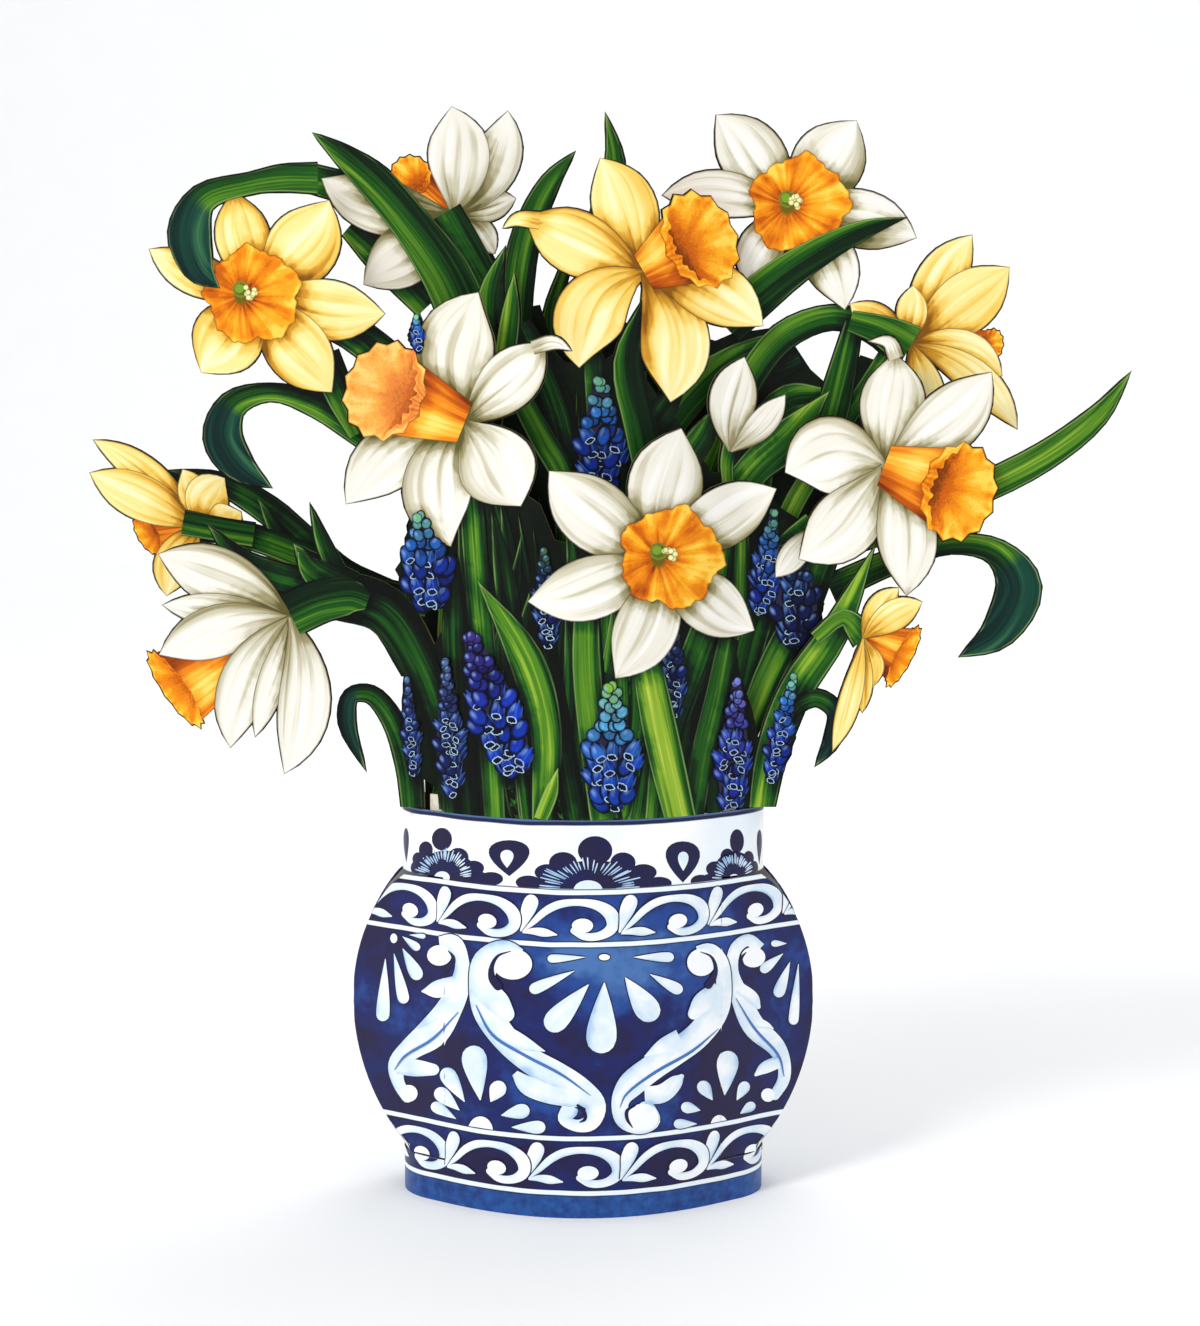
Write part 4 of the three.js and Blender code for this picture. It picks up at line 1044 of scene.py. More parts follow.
def petal_ink():
    """White at 0 or yellow at 1, with painted shade in long folds that gather at the base and the tip."""
    ink = Ink("petal_print")
    u, v, half = ink.spot("spot")
    yellow, seed, deep = ink.spot("tint")
    cover = ink.number("shade")
    bend = (u * 3.1 + seed).wave() * 0.16
    across = v + bend * (1 - v * v)
    drift = ink.noise(u * 0.9 + seed * 3, across * 1.4, seed) * 1.1
    streak = ink.noise(across * 12 + seed * 3, u * 1.6, seed, 3.0)
    broad = ink.noise(across * 1.7 + seed * 5, u * 0.9 + seed, seed)
    pleat = (across * 1.9 + drift + seed * 2).math("FRACT")
    fold = pleat * pleat * (1 - pleat.rise(0.82, 1.0)) * u.rise(0.0, 0.2) * (1 - u.rise(0.62, 0.98))
    middle = across.dome(0.0, 0.1) * u.dome(0.5, 0.5)
    shine = across.dome(-0.28, 0.3) * u.dome(0.6, 0.4)
    base = 1 - u.rise(0.0, 0.55)
    side = v.rise(0.3, 1.05)
    # Painted light and shade: broad, fold and middle shade the folds and the middle crease, base darkens
    # towards the heart, side shades the side at v = 1, shine is a painted highlight, cover is the painted
    # shade of the patches over this one, and deep is a little painted shade on petals drawn beneath
    depth = (
        base * (0.46 + yellow * 0.08) + (broad - 0.45) * 1.05 + fold * 0.38 + (streak - 0.5) * 0.32
        + middle * 0.18 + side * 0.38 - shine * 0.22 + cover * 0.85 + deep + 0.12
    )
    white = ink.ramp(
        depth, (0.0, (0.975, 0.965, 0.94)), (0.3, (0.93, 0.915, 0.865)), (0.58, (0.80, 0.775, 0.68)),
        (0.88, (0.60, 0.565, 0.41)), (1.28, (0.36, 0.34, 0.17)),
    )
    gold = ink.ramp(
        depth, (0.0, (1.0, 0.965, 0.76)), (0.3, (0.99, 0.90, 0.58)), (0.6, (0.95, 0.79, 0.37)),
        (0.92, (0.80, 0.57, 0.16)), (1.34, (0.52, 0.32, 0.05)),
    )
    edge = (1 - v.size()) * half
    colour = ink.mix(white, gold, yellow)
    colour = ink.mix(colour, (0.34, 0.29, 0.19), (1 - edge.rise(0.1, 0.42)) * 0.8)
    return ink.finish(colour)


def leaf_ink():
    """Dark green at 0 to yellow-green at 1; past turn millimetres a leaf shows its blue back."""
    ink = Ink("leaf_print")
    u, v, half = ink.spot("spot")
    tone, seed, turn = ink.spot("tint")
    cover = ink.number("shade")
    across = v * half
    band = ink.noise(across * 0.34 + seed * 4, u * 0.012, seed)
    vein = ink.noise(across * 1.5 + seed * 3, u * 0.03, seed, 3.0)
    lit = (v * -1 + (seed * 2).wave() * 0.4).dome(0.3, 0.75)
    groove = v.dome(0.0, 0.12)
    # Painted light and shade: lit is a painted highlight band, the side at v = 1 takes painted shade, groove
    # is painted shade along the midrib, and cover is the painted shade of the patches over this one
    light = (
        tone + (band - 0.5) * 1.1 + (vein - 0.5) * 0.8 + lit * 0.3 - v.rise(0.35, 1.0) * 0.22
        - groove * 0.12 - cover * 0.62 - 0.14
    )
    green = ink.ramp(
        light, (-0.25, (0.012, 0.03, 0.014)), (0.05, (0.03, 0.13, 0.05)), (0.35, (0.10, 0.31, 0.08)),
        (0.62, (0.30, 0.50, 0.12)), (0.9, (0.56, 0.69, 0.20)), (1.2, (0.80, 0.84, 0.36)),
    )
    cold = ink.ramp(
        light, (-0.25, (0.01, 0.04, 0.04)), (0.1, (0.03, 0.14, 0.13)), (0.5, (0.07, 0.25, 0.20)),
        (0.9, (0.22, 0.42, 0.28)),
    )
    under = (u - turn).rise(-2, 3) * turn.rise(0, 1)
    colour = ink.mix(green, cold, under)
    edge = (1 - v.size()) * half
    rim = edge.dome(0.32, 0.3) * light.rise(-0.1, 0.5) * 0.55
    colour = ink.mix(colour, (0.62, 0.70, 0.42), rim)
    return ink.finish(colour)


def tube_ink():
    """The side of a trumpet: gold ribs between orange grooves, with painted shade to its heart and on one
    side.
    """
    ink = Ink("tube_print")
    u, v, half = ink.spot("spot")
    seed = ink.spot("tint")[1]
    cover = ink.number("shade")
    rib = ink.noise(v * 4.5 + seed * 5, u * 0.7, seed, 2.0)
    fine = ink.noise(v * 16 + seed, u * 2.0, seed, 3.0)
    # Painted light and shade: rib lights the ribs and shades the grooves, the heart end and the side at v =
    # 1 take painted shade, a painted highlight lies at v = -0.35, and cover is the painted shade of the
    # patches over this one
    depth = (
        (rib - 0.42) * 1.2 + (fine - 0.5) * 0.4 + (1 - u.rise(0.0, 0.4)) * 0.35
        + v.rise(0.0, 1.0) * 0.55 + v.dome(-0.35, 0.5) * -0.42 + cover * 0.6 + 0.26
    )
    colour = ink.ramp(
        depth, (0.0, (1.0, 0.86, 0.42)), (0.3, (0.99, 0.72, 0.22)), (0.6, (0.92, 0.53, 0.10)),
        (0.95, (0.74, 0.33, 0.04)), (1.3, (0.45, 0.17, 0.02)),
    )
    edge = (1 - v.size()) * half
    colour = ink.mix(colour, (0.42, 0.22, 0.06), (1 - edge.rise(0.08, 0.4)) * 0.7)
    return ink.finish(colour)


def corona_ink():
    """A trumpet's frilled mouth. Its tint is (facing us, seed, glare)."""
    ink = Ink("corona_print")
    x, z, out = ink.spot("spot")
    facing, seed, glare = ink.spot("tint")
    cover = ink.number("shade")
    lean = 0.42 - facing * 0.18
    around = z.math("ARCTAN2", x + lean)
    twist = ink.noise(x * 2.0, z * 2.0, seed) * 6
    pleat = ((around * 9 + twist + seed).wave() + 1) * 0.5
    ruffle = ((around * 25 + twist * 2 + seed * 3).wave() + 1) * 0.5
    ray = ink.noise(around * 4.5 + seed, out * 0.7, seed, 3.0)
    grain = ink.noise(x * 26, z * 26, seed, 4.0)
    patchy = ink.noise(x * 2.4, z * 2.4, seed)
    reach = ((x + lean) * (x + lean) + z * z * 0.6).math("SQRT")
    near = 1 - reach.rise(0.1, 0.85)
    rim = out.dome(0.94, 0.09)
    left = 1 - x.rise(-0.95, -0.2)
    # Painted light and shade: a darker ring round the throat, painted shade on the left, pleats and ruffles
    # lit and shaded, and a painted highlight along the rim; seen aside, near is the painted shade inside the
    # mouth towards the tube; cover is the painted shade of the patches over this one
    depth_facing = (
        reach.dome(0.2, 0.3) * 0.34 + (ray - 0.45) * 1.6 + (1 - pleat) * 0.24 * out.rise(0.5, 0.9)
        + (grain - 0.5) * 0.3 + (patchy - 0.5) * 0.7 + left * 0.14 - rim * 0.12 + 0.2
    )
    depth_side = (
        near * 0.78 + (1 - pleat) * 0.3 * (1 - near) + (1 - ruffle) * 0.3 * out.rise(0.55, 1.0)
        + (ray - 0.5) * 0.6 * (1 - near * 0.6) + (grain - 0.5) * 0.5 - rim * 0.2 + (patchy - 0.5) * 0.2
    )
    depth = depth_facing * facing + depth_side * (1 - facing) + cover * 0.5
    colour = ink.ramp(
        depth, (0.0, (1.0, 0.82, 0.32)), (0.25, (0.975, 0.67, 0.13)), (0.5, (0.915, 0.52, 0.06)),
        (0.8, (0.78, 0.37, 0.03)), (1.15, (0.46, 0.20, 0.02)),
    )
    # soft: the colours paled by glare, a painted reflection, mixed in where glare is set
    soft = ink.ramp(
        depth, (0.0, (1.0, 0.80, 0.44)), (0.3, (0.97, 0.66, 0.28)), (0.6, (0.89, 0.52, 0.22)),
        (0.9, (0.76, 0.38, 0.14)), (1.25, (0.50, 0.22, 0.07)),
    )
    colour = ink.mix(colour, soft, glare.rise(0, 1))
    centre = (1 - reach.rise(0.1, 0.2)) * facing
    colour = ink.mix(colour, (0.42, 0.36, 0.07), centre)
    colour = ink.mix(colour, (0.45, 0.24, 0.08), out.rise(0.965, 1.0) * 0.75)
    return ink.finish(colour)


def floret_ink():
    """A bell with a pale crinkled mouth, or a round bud. Its tint is its colour."""
    ink = Ink("floret_print", 0.38)
    x, z, bell = ink.spot("spot")
    tint = ink.attribute_colour("tint")
    seed = ink.spot("tint")[2]
    cover = ink.number("shade")
    out = (x * x + z * z).math("SQRT")
    # Painted light: lit is a painted highlight towards the upper left; dark is painted shade towards the rim
    # and under the patches over this one (cover), mixed with random grain
    lit = ((x + 0.3) * (x + 0.3) * 2 + (z - 0.3) * (z - 0.3)).math("SQRT")
    colour = ink.mix(tint, (0.55, 0.70, 0.97), (1 - lit.rise(0.0, 0.6)) * 0.62)
    grain = ink.noise(x * 4 + seed * 90, z * 2, 0.0)
    dark = out.rise(0.55, 1.0) * 0.85 + cover * 0.6 + (grain - 0.5) * 0.7
    colour = ink.mix(colour, (0.008, 0.012, 0.07), dark.rise(0, 1))
    low = (x * x * 1.7 + (z + 0.68) * (z + 0.68) * 7).math("SQRT")
    frill = ((z + 0.66).math("ARCTAN2", x) * 6).wave() * 0.06
    ring = (low + frill).dome(0.64, 0.15) * bell
    # hole: the dark inside of an open mouth, painted shade
    hole = (1 - (low + frill).rise(0.44, 0.58)) * bell
    ribs = (x * 9).wave().rise(0.2, 1.0) * z.rise(-0.7, 0.1) * bell
    colour = ink.mix(colour, (0.30, 0.52, 0.88), ribs * 0.35)
    colour = ink.mix(colour, (0.74, 0.87, 0.97), ring * (grain - 0.1).rise(0.1, 0.4))
    colour = ink.mix(colour, (0.012, 0.016, 0.09), hole * 0.95)
    return ink.finish(colour)


def stamen_ink():
    """Cream anthers and the green-yellow pistil. Its tint is its colour."""
    ink = Ink("stamen_print")
    out = ink.spot("spot")[2]
    tint = ink.attribute_colour("tint")
    # Each dot darkens to olive towards its rim: painted shade on a round anther or pistil
    colour = ink.mix(tint, (0.55, 0.52, 0.18), out.rise(0.55, 1.0) * 0.8)
    return ink.finish(colour)


def ground_ink():
    """The vase's painted ground, by its sheet: bands of blue between white lines."""
    ink = Ink("vase_ground_print", 0.36, 0.3)
    run, z, _ = ink.spot("spot")
    wobble = (ink.noise(run * 0.05, z * 0.05, 3.0) - 0.5) * 0.8
    z = z + wobble
    cloud = ink.noise(run * 0.035, z * 0.05, 1.0, 3.0)
    fine = ink.noise(run * 0.35, z * 0.35, 2.0, 4.0)
    wash = (run - 12).dome(0.0, 42) * (z - 74).dome(0.0, 26) * 0.45 + cloud + (fine - 0.5) * 0.22
    navy = ink.ramp(
        wash, (0.40, (0.085, 0.045, 0.24)), (0.54, (0.035, 0.09, 0.36)), (0.72, (0.09, 0.25, 0.55)),
        (0.95, (0.27, 0.44, 0.68)),
    )
    foot = ink.ramp(fine + (cloud - 0.5) * 0.5, (0.2, (0.07, 0.20, 0.46)), (0.8, (0.13, 0.35, 0.64)))
    colour = ink.mix(foot, navy, z.rise(FOOT_BAND, FOOT_BAND + 0.3))
    neck = ink.mix((0.93, 0.96, 0.99), (0.985, 0.99, 0.99), cloud.rise(0.4, 0.55))
    colour = ink.mix(colour, neck, z.rise(NECK_FOOT - 1.1, NECK_FOOT - 0.9))
    for line in BAND_LINES:
        colour = ink.mix(colour, (0.02, 0.03, 0.16), z.dome(line, 1.5).rise(0.1, 0.5))
        colour = ink.mix(colour, (0.93, 0.97, 1.0), z.dome(line, 0.95).rise(0.1, 0.4))
    colour = ink.mix(colour, (0.05, 0.07, 0.26), z.rise(RIM - 1.7, RIM - 1.3))
    colour = ink.mix(colour, (0.30, 0.42, 0.62), z.rise(RIM - 0.6, RIM - 0.2))
    return ink.finish(colour)


def slip_ink():
    """White painted scrolls with a pale blue wash along one side."""
    ink = Ink("white_slip_print", 0.36, 0.3)
    v = ink.spot("spot")[1]
    wet = ink.spot("tint")[0]
    x, _, z = ink.place()
    cloud = ink.noise(x * 0.11, z * 0.11, 5.0, 3.0)
    wash = v.rise(0.15, 1.0) * 0.4 + (cloud - 0.42) * 1.6 + wet
    colour = ink.ramp(
        wash, (0.05, (0.975, 0.985, 0.995)), (0.5, (0.86, 0.92, 0.965)), (1.0, (0.62, 0.76, 0.90)),
    )
    return ink.finish(colour)


def cobalt_ink():
    """Navy brushwork on the white neck, and the dark lines round the white scrolls."""
    ink = Ink("cobalt_print", 0.36, 0.3)
    tone = ink.spot("tint")[0]
    x, _, z = ink.place()
    cloud = ink.noise(x * 0.09, z * 0.09, 8.0, 3.0)
    colour = ink.ramp(
        cloud + tone, (0.35, (0.085, 0.045, 0.22)), (0.62, (0.03, 0.04, 0.27)),
        (0.9, (0.06, 0.16, 0.45)), (1.3, (0.25, 0.45, 0.72)),
    )
    return ink.finish(colour)


def spray_face(ink):
    """The colour of card behind the printed shapes, with cloud and how far it faces out."""
    node = ink.tree.nodes.new("ShaderNodeNewGeometry")
    split = ink.tree.nodes.new("ShaderNodeSeparateXYZ")
    ink.tree.links.new(node.outputs["True Normal"], split.inputs[0])
    flat = Term(ink.tree, split.outputs[1]).size().rise(0.66, 0.72)
    x, y, z = ink.place()
    cloud = ink.noise(x * 0.12, y * 0.12, z * 0.05, 3.0)
    face = ink.ramp(cloud, (0.3, (0.012, 0.022, 0.012)), (0.75, (0.05, 0.10, 0.04)))
    return ink.mix(CUT_EDGE, face, flat), cloud, flat


def spray_stock():
    """The CAD's inner cards: a dark printed face, and paler fibres at a cut edge."""
    ink = Ink("spray_card_stock", 0.6)
    colour, _, _ = spray_face(ink)
    return ink.finish(colour)


def vase_stock():
    """The CAD's front and rear cards: spray above the rim, and below it cream with a blue edge."""
    ink = Ink("vase_card_stock", 0.6)
    colour, cloud, flat = spray_face(ink)
    cream = ink.ramp(cloud, (0.3, (0.86, 0.84, 0.78)), (0.7, (0.93, 0.92, 0.88)))
    cream = ink.mix(VASE_CUT_EDGE, cream, flat)
    z = ink.place()[2]
    return ink.finish(ink.mix(cream, colour, z.rise(RIM, RIM + 0.3)))


def plain_stock():
    """The spacers: plain board."""
    ink = Ink("plain_card_stock", 0.75)
    x, y, z = ink.place()
    fibre = ink.noise(x * 0.5, y * 0.5, z * 0.5, 5.0)
    return ink.finish(ink.ramp(fibre, (0.3, (0.82, 0.78, 0.70)), (0.7, (0.90, 0.87, 0.80))))


INKS = {
    "leaf": leaf_ink(),
    "petal": petal_ink(),
    "tube": tube_ink(),
    "corona": corona_ink(),
    "stamen": stamen_ink(),
    "floret": floret_ink(),
    "ground": ground_ink(),
    "cobalt": cobalt_ink(),
    "slip": slip_ink(),
}


# The spray


def facing_centre(middle, size):
    """The green pistil of a trumpet that faces us, with cream anthers beside it."""
    green = hue((0.30, 0.42, 0.10))
    # Each dot is (x, z, radius, colour), in parts of the trumpet's width
    dots = [(-0.135, 0.035, 0.09, green), (-0.15, 0.045, 0.05, green * 2.4)]
    for _ in range(ANTHERS):
        a = rng.uniform(0, 2 * math.pi)
        reach = rng.uniform(0.02, 0.075)
        cream = hue((0.985, 0.97, 0.70)) * rng.uniform(0.8, 1)
        dots.append((reach * math.cos(a) - 0.035, reach * math.sin(a) + 0.01, 0.03, cream))
    ring = np.linspace(0, 2 * math.pi, 9)
    circle = np.stack([np.cos(ring), np.sin(ring)], 1)
    patches = []
    for x, z, radius, colour in dots:
        place = (middle[0] + x * size, middle[1] + z * size)
        patches.append(round_patch("stamen", place, radius * size * circle, tuple(colour), 3))
    return patches


def lobed_rim(size, seed):
    """The irregular lobes of a trumpet's mouth that faces us."""
    a = np.linspace(0, 2 * math.pi, 91)
    reach = 0.98 + 0.06 * np.sin(5 * a + seed) + 0.035 * np.sin(9 * a + 2 * seed)
    reach += 0.022 * np.sin(17 * a + 3 * seed) + 0.016 * np.sin(31 * a)
    return size / 2 * np.stack([np.cos(a), np.sin(a)], 1) * reach[:, None]


def facing_mouth(mouth, size, seed):
    """The mouth of a trumpet that faces us, with the stamens in it."""
    patch = round_patch("corona", mouth, lobed_rim(size, seed), (1, seed, 0), CORONA_RINGS)
    patch.spot[..., :2] /= size / 2
    return [patch, *facing_centre(mouth + (0.4, 0.8), size)]


def near_lip(mouth, rim, turned, seed, glare):
    """The part of the frill that curls over the tube, towards the flower's heart."""
    rim = resample(rim, 4 * len(rim) - 3)
    side = rim @ turned[:, 0]
    near = np.nonzero(side < 0.25 * side.min())[0]
    order = np.argsort(np.mod(np.arctan2(*(rim[near] @ turned).T[::-1]), 2 * math.pi))
    outer = rim[near][order]
    wave = 0.72 + 0.05 * np.sin(np.arange(len(outer)) * 1.25 + seed)
    ends = np.sin(np.linspace(0, math.pi, len(outer))) ** 0.6
    inner = outer * (1 - (1 - wave) * ends)[:, None]
    part = np.linspace(0, 1, 4)[None, :, None]
    around = inner[:, None] * (1 - part) + outer[:, None] * part
    way = np.broadcast_to(0.78 + 0.22 * part[..., 0], around.shape[:2])
    spot = np.stack([around[..., 0], around[..., 1], way], -1)
    return Patch("corona", mouth + around, spot, (0, seed + 2, glare))


def side_mouth(heart, trumpet, seed, glare):
    """The frilled mouth of a trumpet seen aside. Its spots lie along the tube's own direction."""
    mouth = np.array(trumpet["mouth"], float)
    away = mouth - heart
    away /= np.linalg.norm(away)
    turned = np.array([[away[0], -away[1]], [away[1], away[0]]])
    rim = frill_rim(trumpet)
    patches = [round_patch("corona", mouth, rim, (0, seed, glare), CORONA_RINGS)]
    if trumpet["deep"] > LIP_FROM:
        patches.append(near_lip(mouth, rim, turned, seed, glare))
    for patch, shift in zip(patches, (0, LIP_LIGHT)):
        patch.spot[..., :2] = patch.spot[..., :2] @ turned / (trumpet["across"] / 2) + (shift, 0)
    return patches


def tube_patch(heart, trumpet, seed):
    """The side of a trumpet, from the flower's heart to its mouth."""
    mouth = trumpet["mouth"]
    reach = np.array(mouth, float) - heart
    normal = np.array([-reach[1], reach[0]]) / np.linalg.norm(reach)
    spans = np.array([trumpet["foot"] / 2, trumpet["across"] * TUBE_SPREAD])
    ends = np.array([heart, mouth], float)
    edges = (ends + normal * spans[:, None], ends - normal * spans[:, None])
    return band_patch("tube", edges, (0, seed, 0))


def flower_patches(flower):
    """A flower's petals, and its trumpet over them, or behind them where its back faces us."""
    heart = flower["heart"]
    yellow = flower.get("yellow", 0)
    seed = rng.uniform(0, 9)
    petals = []
    for i, shape in enumerate(flower["petals"]):
        # The first two petals are drawn beneath the others and take a little painted shade
        deep = 0.05 if i < 2 else 0
        tint = (yellow, seed + 1.7 * i, deep)
        petals.append(band_patch("petal", petal_edges(heart, shape), tint))
    for curl in flower.get("curls", []):
        petals.append(band_patch("petal", leaf_edges(curl), (yellow, seed, 0)))
    trumpet = flower.get("trumpet")
    if not trumpet:
        return petals
    if flower.get("faces_us"):
        return petals + facing_mouth(np.array(trumpet["mouth"], float), trumpet["across"], seed)
    patches = [tube_patch(heart, trumpet, seed)]
    patches += side_mouth(heart, trumpet, seed, flower.get("glare", 0))
    return patches + petals if flower.get("trumpet_behind") else petals + patches


def leaf_patches(motifs, layer):
    """A layer of leaves, with its tones, and the turns of those that show their backs."""
    leaves = motifs.get(layer, [])
    tones = motifs.get(f"{layer}_tones", [])
    turns = motifs.get(f"{layer}_turns", {})
    patches = []
    for i, (line, tone) in enumerate(zip(leaves, tones)):
        tint = (tone, rng.uniform(0, 9), turns.get(i, 0))
        patches.append(band_patch("leaf", leaf_edges(line), tint))
    return patches


def dress(card, motifs, grass):
    """Lays a card's motifs from the back to the front."""
    card.lay(*undergrowth(motifs, grass))
    card.lay(*leaf_patches(motifs, "shaded_leaves"))
    for shape in motifs.get("shaded_spikes", []):
        card.lay(*spike_florets(shape, SHADE_SPIKE))
    card.lay(*leaf_patches(motifs, "leaves"))
    spikes = [
        patch for shape, look in zip(motifs["spikes"], motifs["spike_looks"])
        for patch in spike_florets(shape, look)
    ]
    if not motifs.get("spikes_on_top"):
        card.lay(*spikes)
    for flower in motifs["flowers"]:
        card.lay(*flower_patches(flower))
    if motifs.get("spikes_on_top"):
        card.lay(*spikes)
    card.lay(*leaf_patches(motifs, "over"))


# The vase

# Side grids reach past the belly's outline, and overlap the middle by this much
WING_RUN = 78
ZONE_LAP = 0.3

# The print stops this short of a card's side edges and of a spray's foot
EDGE_INSET = 0.1
FOOT_INSET = 0.05

# Levels of the painted shapes over the ground's own: each white shape lies a little over the one
# before it, and each group of shapes this much over the last
GROUND_LEVEL = 1
PAINT_LEVEL = 2
WHITE_RISE = 0.2
PAINT_RISE = 5


class Vase(Card):
    """The vase print of a front or rear card, cut at the slits where neck, belly and foot part."""

    zones = {
        "middle": (0, RIM),
        "neck": (NECK_FOOT, RIM),
        "belly": (BELLY_FOOT, BELLY_TOP),
        "foot": (0, FOOT_TOP),
    }

    def build(self):
        for ink in ("ground", "cobalt", "slip"):
            parts = []
            for patch in self.patches:
                if patch.ink == ink:
                    parts.extend(self.zone_parts(patch))
            if parts:
                build_piece(f"{self.name}_{ink}", parts, ink, self.slot)

    def zone_parts(self, patch):
        """The patch's pieces in the middle, and at both sides of the zones it belongs to."""
        for zone in patch.zones:
            low, high = self.zones[zone]
            low = max(low, patch.lowest)
            section = BELLY_WING if zone in ("middle", "belly") else CORNER_WING
            if patch.on_sheet:
                run, z = patch.points[..., 0], patch.points[..., 1]
            else:
                run, z = section.sheet(self.side, patch.points[..., 0], patch.points[..., 1])
            lift = CARD / 2 + LIFT + LIFT_STEP * patch.level
            slit = slit_run(section)
            for hand in (0,) if zone == "middle" else (-1, 1):
                if hand == 0:
                    kept = np.clip(run, -slit, slit)
                else:
                    far = wing_run(zone, section, z)
                    kept = hand * np.clip(hand * run, slit - ZONE_LAP, far)
                held = np.clip(z, low, high)
                places, outward = section.place(self.side, kept, held, lift)
                yield patch, places, outward, 1


def slit_run(section):
    """How far along the sheet the slits at the sides begin."""
    return float(np.interp(SLIT_X, section.x, section.run))


def wing_run(zone, section, z):
    """How far a zone reaches from the middle at each height."""
    if zone != "belly":
        return np.full_like(z, section.run[-1] - EDGE_INSET)
    round_part = np.maximum(0, 1 - ((z - BELLY_MID) / BELLY_HALF) ** 2) ** BELLY_ROUND
    edge = BELLY_END_X + (BELLY_X - BELLY_END_X) * round_part
    return np.interp(edge, section.x, section.run) - EDGE_INSET


def ground_patches():
    """Grids that cover the vase sheet, drawn on the sheet itself."""
    patches = []
    for zone, (low, high) in Vase.zones.items():
        reach = WING_RUN if zone != "middle" else CORNER_X
        run = np.linspace(-reach, reach, int(2 * reach / PATCH_STEP))
        z = np.linspace(low, high, max(int((high - low) / GROUND_STEP), 3))
        grid = np.stack(np.meshgrid(run, z, indexing="ij"), -1)
        spot = np.concatenate([grid, np.ones((*grid.shape[:2], 1))], -1)
        patch = Patch("ground", grid, spot, (0, 0, 0))
        patch.zones = (zone,)
        patch.level = GROUND_LEVEL
        patch.on_sheet = True
        patches.append(patch)
    return patches


# The vase's ornament, as seen. A stroke is a line of (x, z, width), a disc is (x, z, half
# width, half height), and a drop is its thin start and its round end with its width.

INNER_SCROLLS = [
    [
        [-18, 66, 5], [-22.5, 67.5, 7], [-27.5, 64.5, 8], [-29, 58, 7], [-27.5, 50.5, 8], [-22.5, 42.5, 7.5],
        [-15.5, 36, 7.5], [-8, 31.5, 8], [-1, 27, 7.5], [3.5, 22.5, 6], [2, 17.5, 5], [-2, 16.5, 3.5],
        [-5.5, 18.5, 3.5], [-4, 21, 5],
    ],
    [[-19.5, 32, 2], [-16, 28.5, 5.5], [-10.5, 26, 5.5], [-3.5, 24.5, 5]],
    [[-23.5, 44, 5.5], [-17.5, 41, 4.5], [-11, 38.5, 0.3]],
    [[-30, 57, 5], [-25, 53.5, 7], [-22, 49.5, 5]],
    [
        [32.5, 67, 4.5], [36, 67.5, 5], [39, 64.5, 4.5], [40, 58, 4.5], [38, 50.5, 7], [32.5, 43, 7.5],
        [26, 38, 7.5], [19.5, 33.5, 7.5], [13.5, 28.5, 7.5], [10.5, 23.5, 5], [11.5, 18, 4.5], [16, 16, 4],
        [19.5, 18, 5], [18, 21, 5.5],
    ],
    [[38.5, 57, 4], [34, 53, 5.5], [31.5, 49.5, 3.5]],
    [[27.5, 42.5, 5], [22.5, 40, 4], [17.5, 37, 0.3]],
    [[17.5, 25.5, 5], [22.5, 26, 5.5], [26.5, 29.5, 4], [28, 31, 1.5]],
]
OUTER_SCROLLS = [
    [
        [-41, 70, 4], [-37, 70, 5], [-34.5, 64.5, 4], [-35.5, 57, 6], [-38.5, 50.5, 7.5], [-43, 44, 9],
        [-49.5, 39, 6.5], [-53.5, 34.5, 5], [-53, 29, 3.5], [-50.5, 25, 3.5],
    ],
    [[-36.5, 58, 5], [-42, 56.5, 5], [-46, 56, 0.5]],
    [[-41, 46.5, 4], [-45, 45, 2.5], [-49, 44, 0.2]],
    [[-53.5, 33.5, 3.5], [-48.5, 33.5, 5], [-43, 33, 3.5]],
    [
        [50.5, 68.5, 3.5], [47, 71, 3.5], [43.5, 68.5, 3.5], [42.5, 62, 3.5], [45, 54, 5.5], [49, 45.5, 6.5],
        [55, 40, 5.5], [57.5, 35, 4], [57.5, 30, 3.5], [55, 25.5, 3],
    ],
    [[44.5, 57, 3.5], [48.5, 54, 3.5], [50, 51.5, 1.5]],
    [[49, 47, 3.5], [52.5, 46, 2], [54.5, 45, 0.2]],
    [[56.5, 35.5, 3.5], [52, 33.5, 3.5], [49.5, 31.5, 1]],
]
INNER_EYES = [[-20, 64, 5.5, 4.5], [33.5, 64.5, 4, 4], [17, 19, 4.5, 4]]
OUTER_EYES = [[-41, 66.5, 3.5, 3], [48.5, 66, 3.5, 3], [-50, 26, 2.5, 2.5], [53, 25.5, 2, 2]]
INNER_CUTS = [
    [[-20.5, 67.8, 0.2], [-24.2, 66.4, 0.8], [-26, 63, 1.4], [-25.8, 59.8, 2.2], [-24.2, 57.6, 2.6]],
    [[-2.5, 22, 0.2], [0, 21, 1], [0.5, 18.5, 1], [-1, 17.5, 0.3]],
    [[33.2, 67.6, 0.2], [36.3, 66.2, 0.7], [37.6, 63, 1.2], [37, 60, 1.8], [35.6, 57.8, 2.2]],
    [[15, 22.5, 0.2], [12.5, 21, 1], [12.5, 18.5, 1], [14, 16, 0.3]],
]
OUTER_CUTS = [
    [[-38.5, 68, 0.2], [-37, 66, 1], [-37, 64, 1], [-39, 61.5, 0.2]],
    [[46.5, 67.5, 0.2], [45, 65.5, 1], [46, 63.5, 0.2]],
]
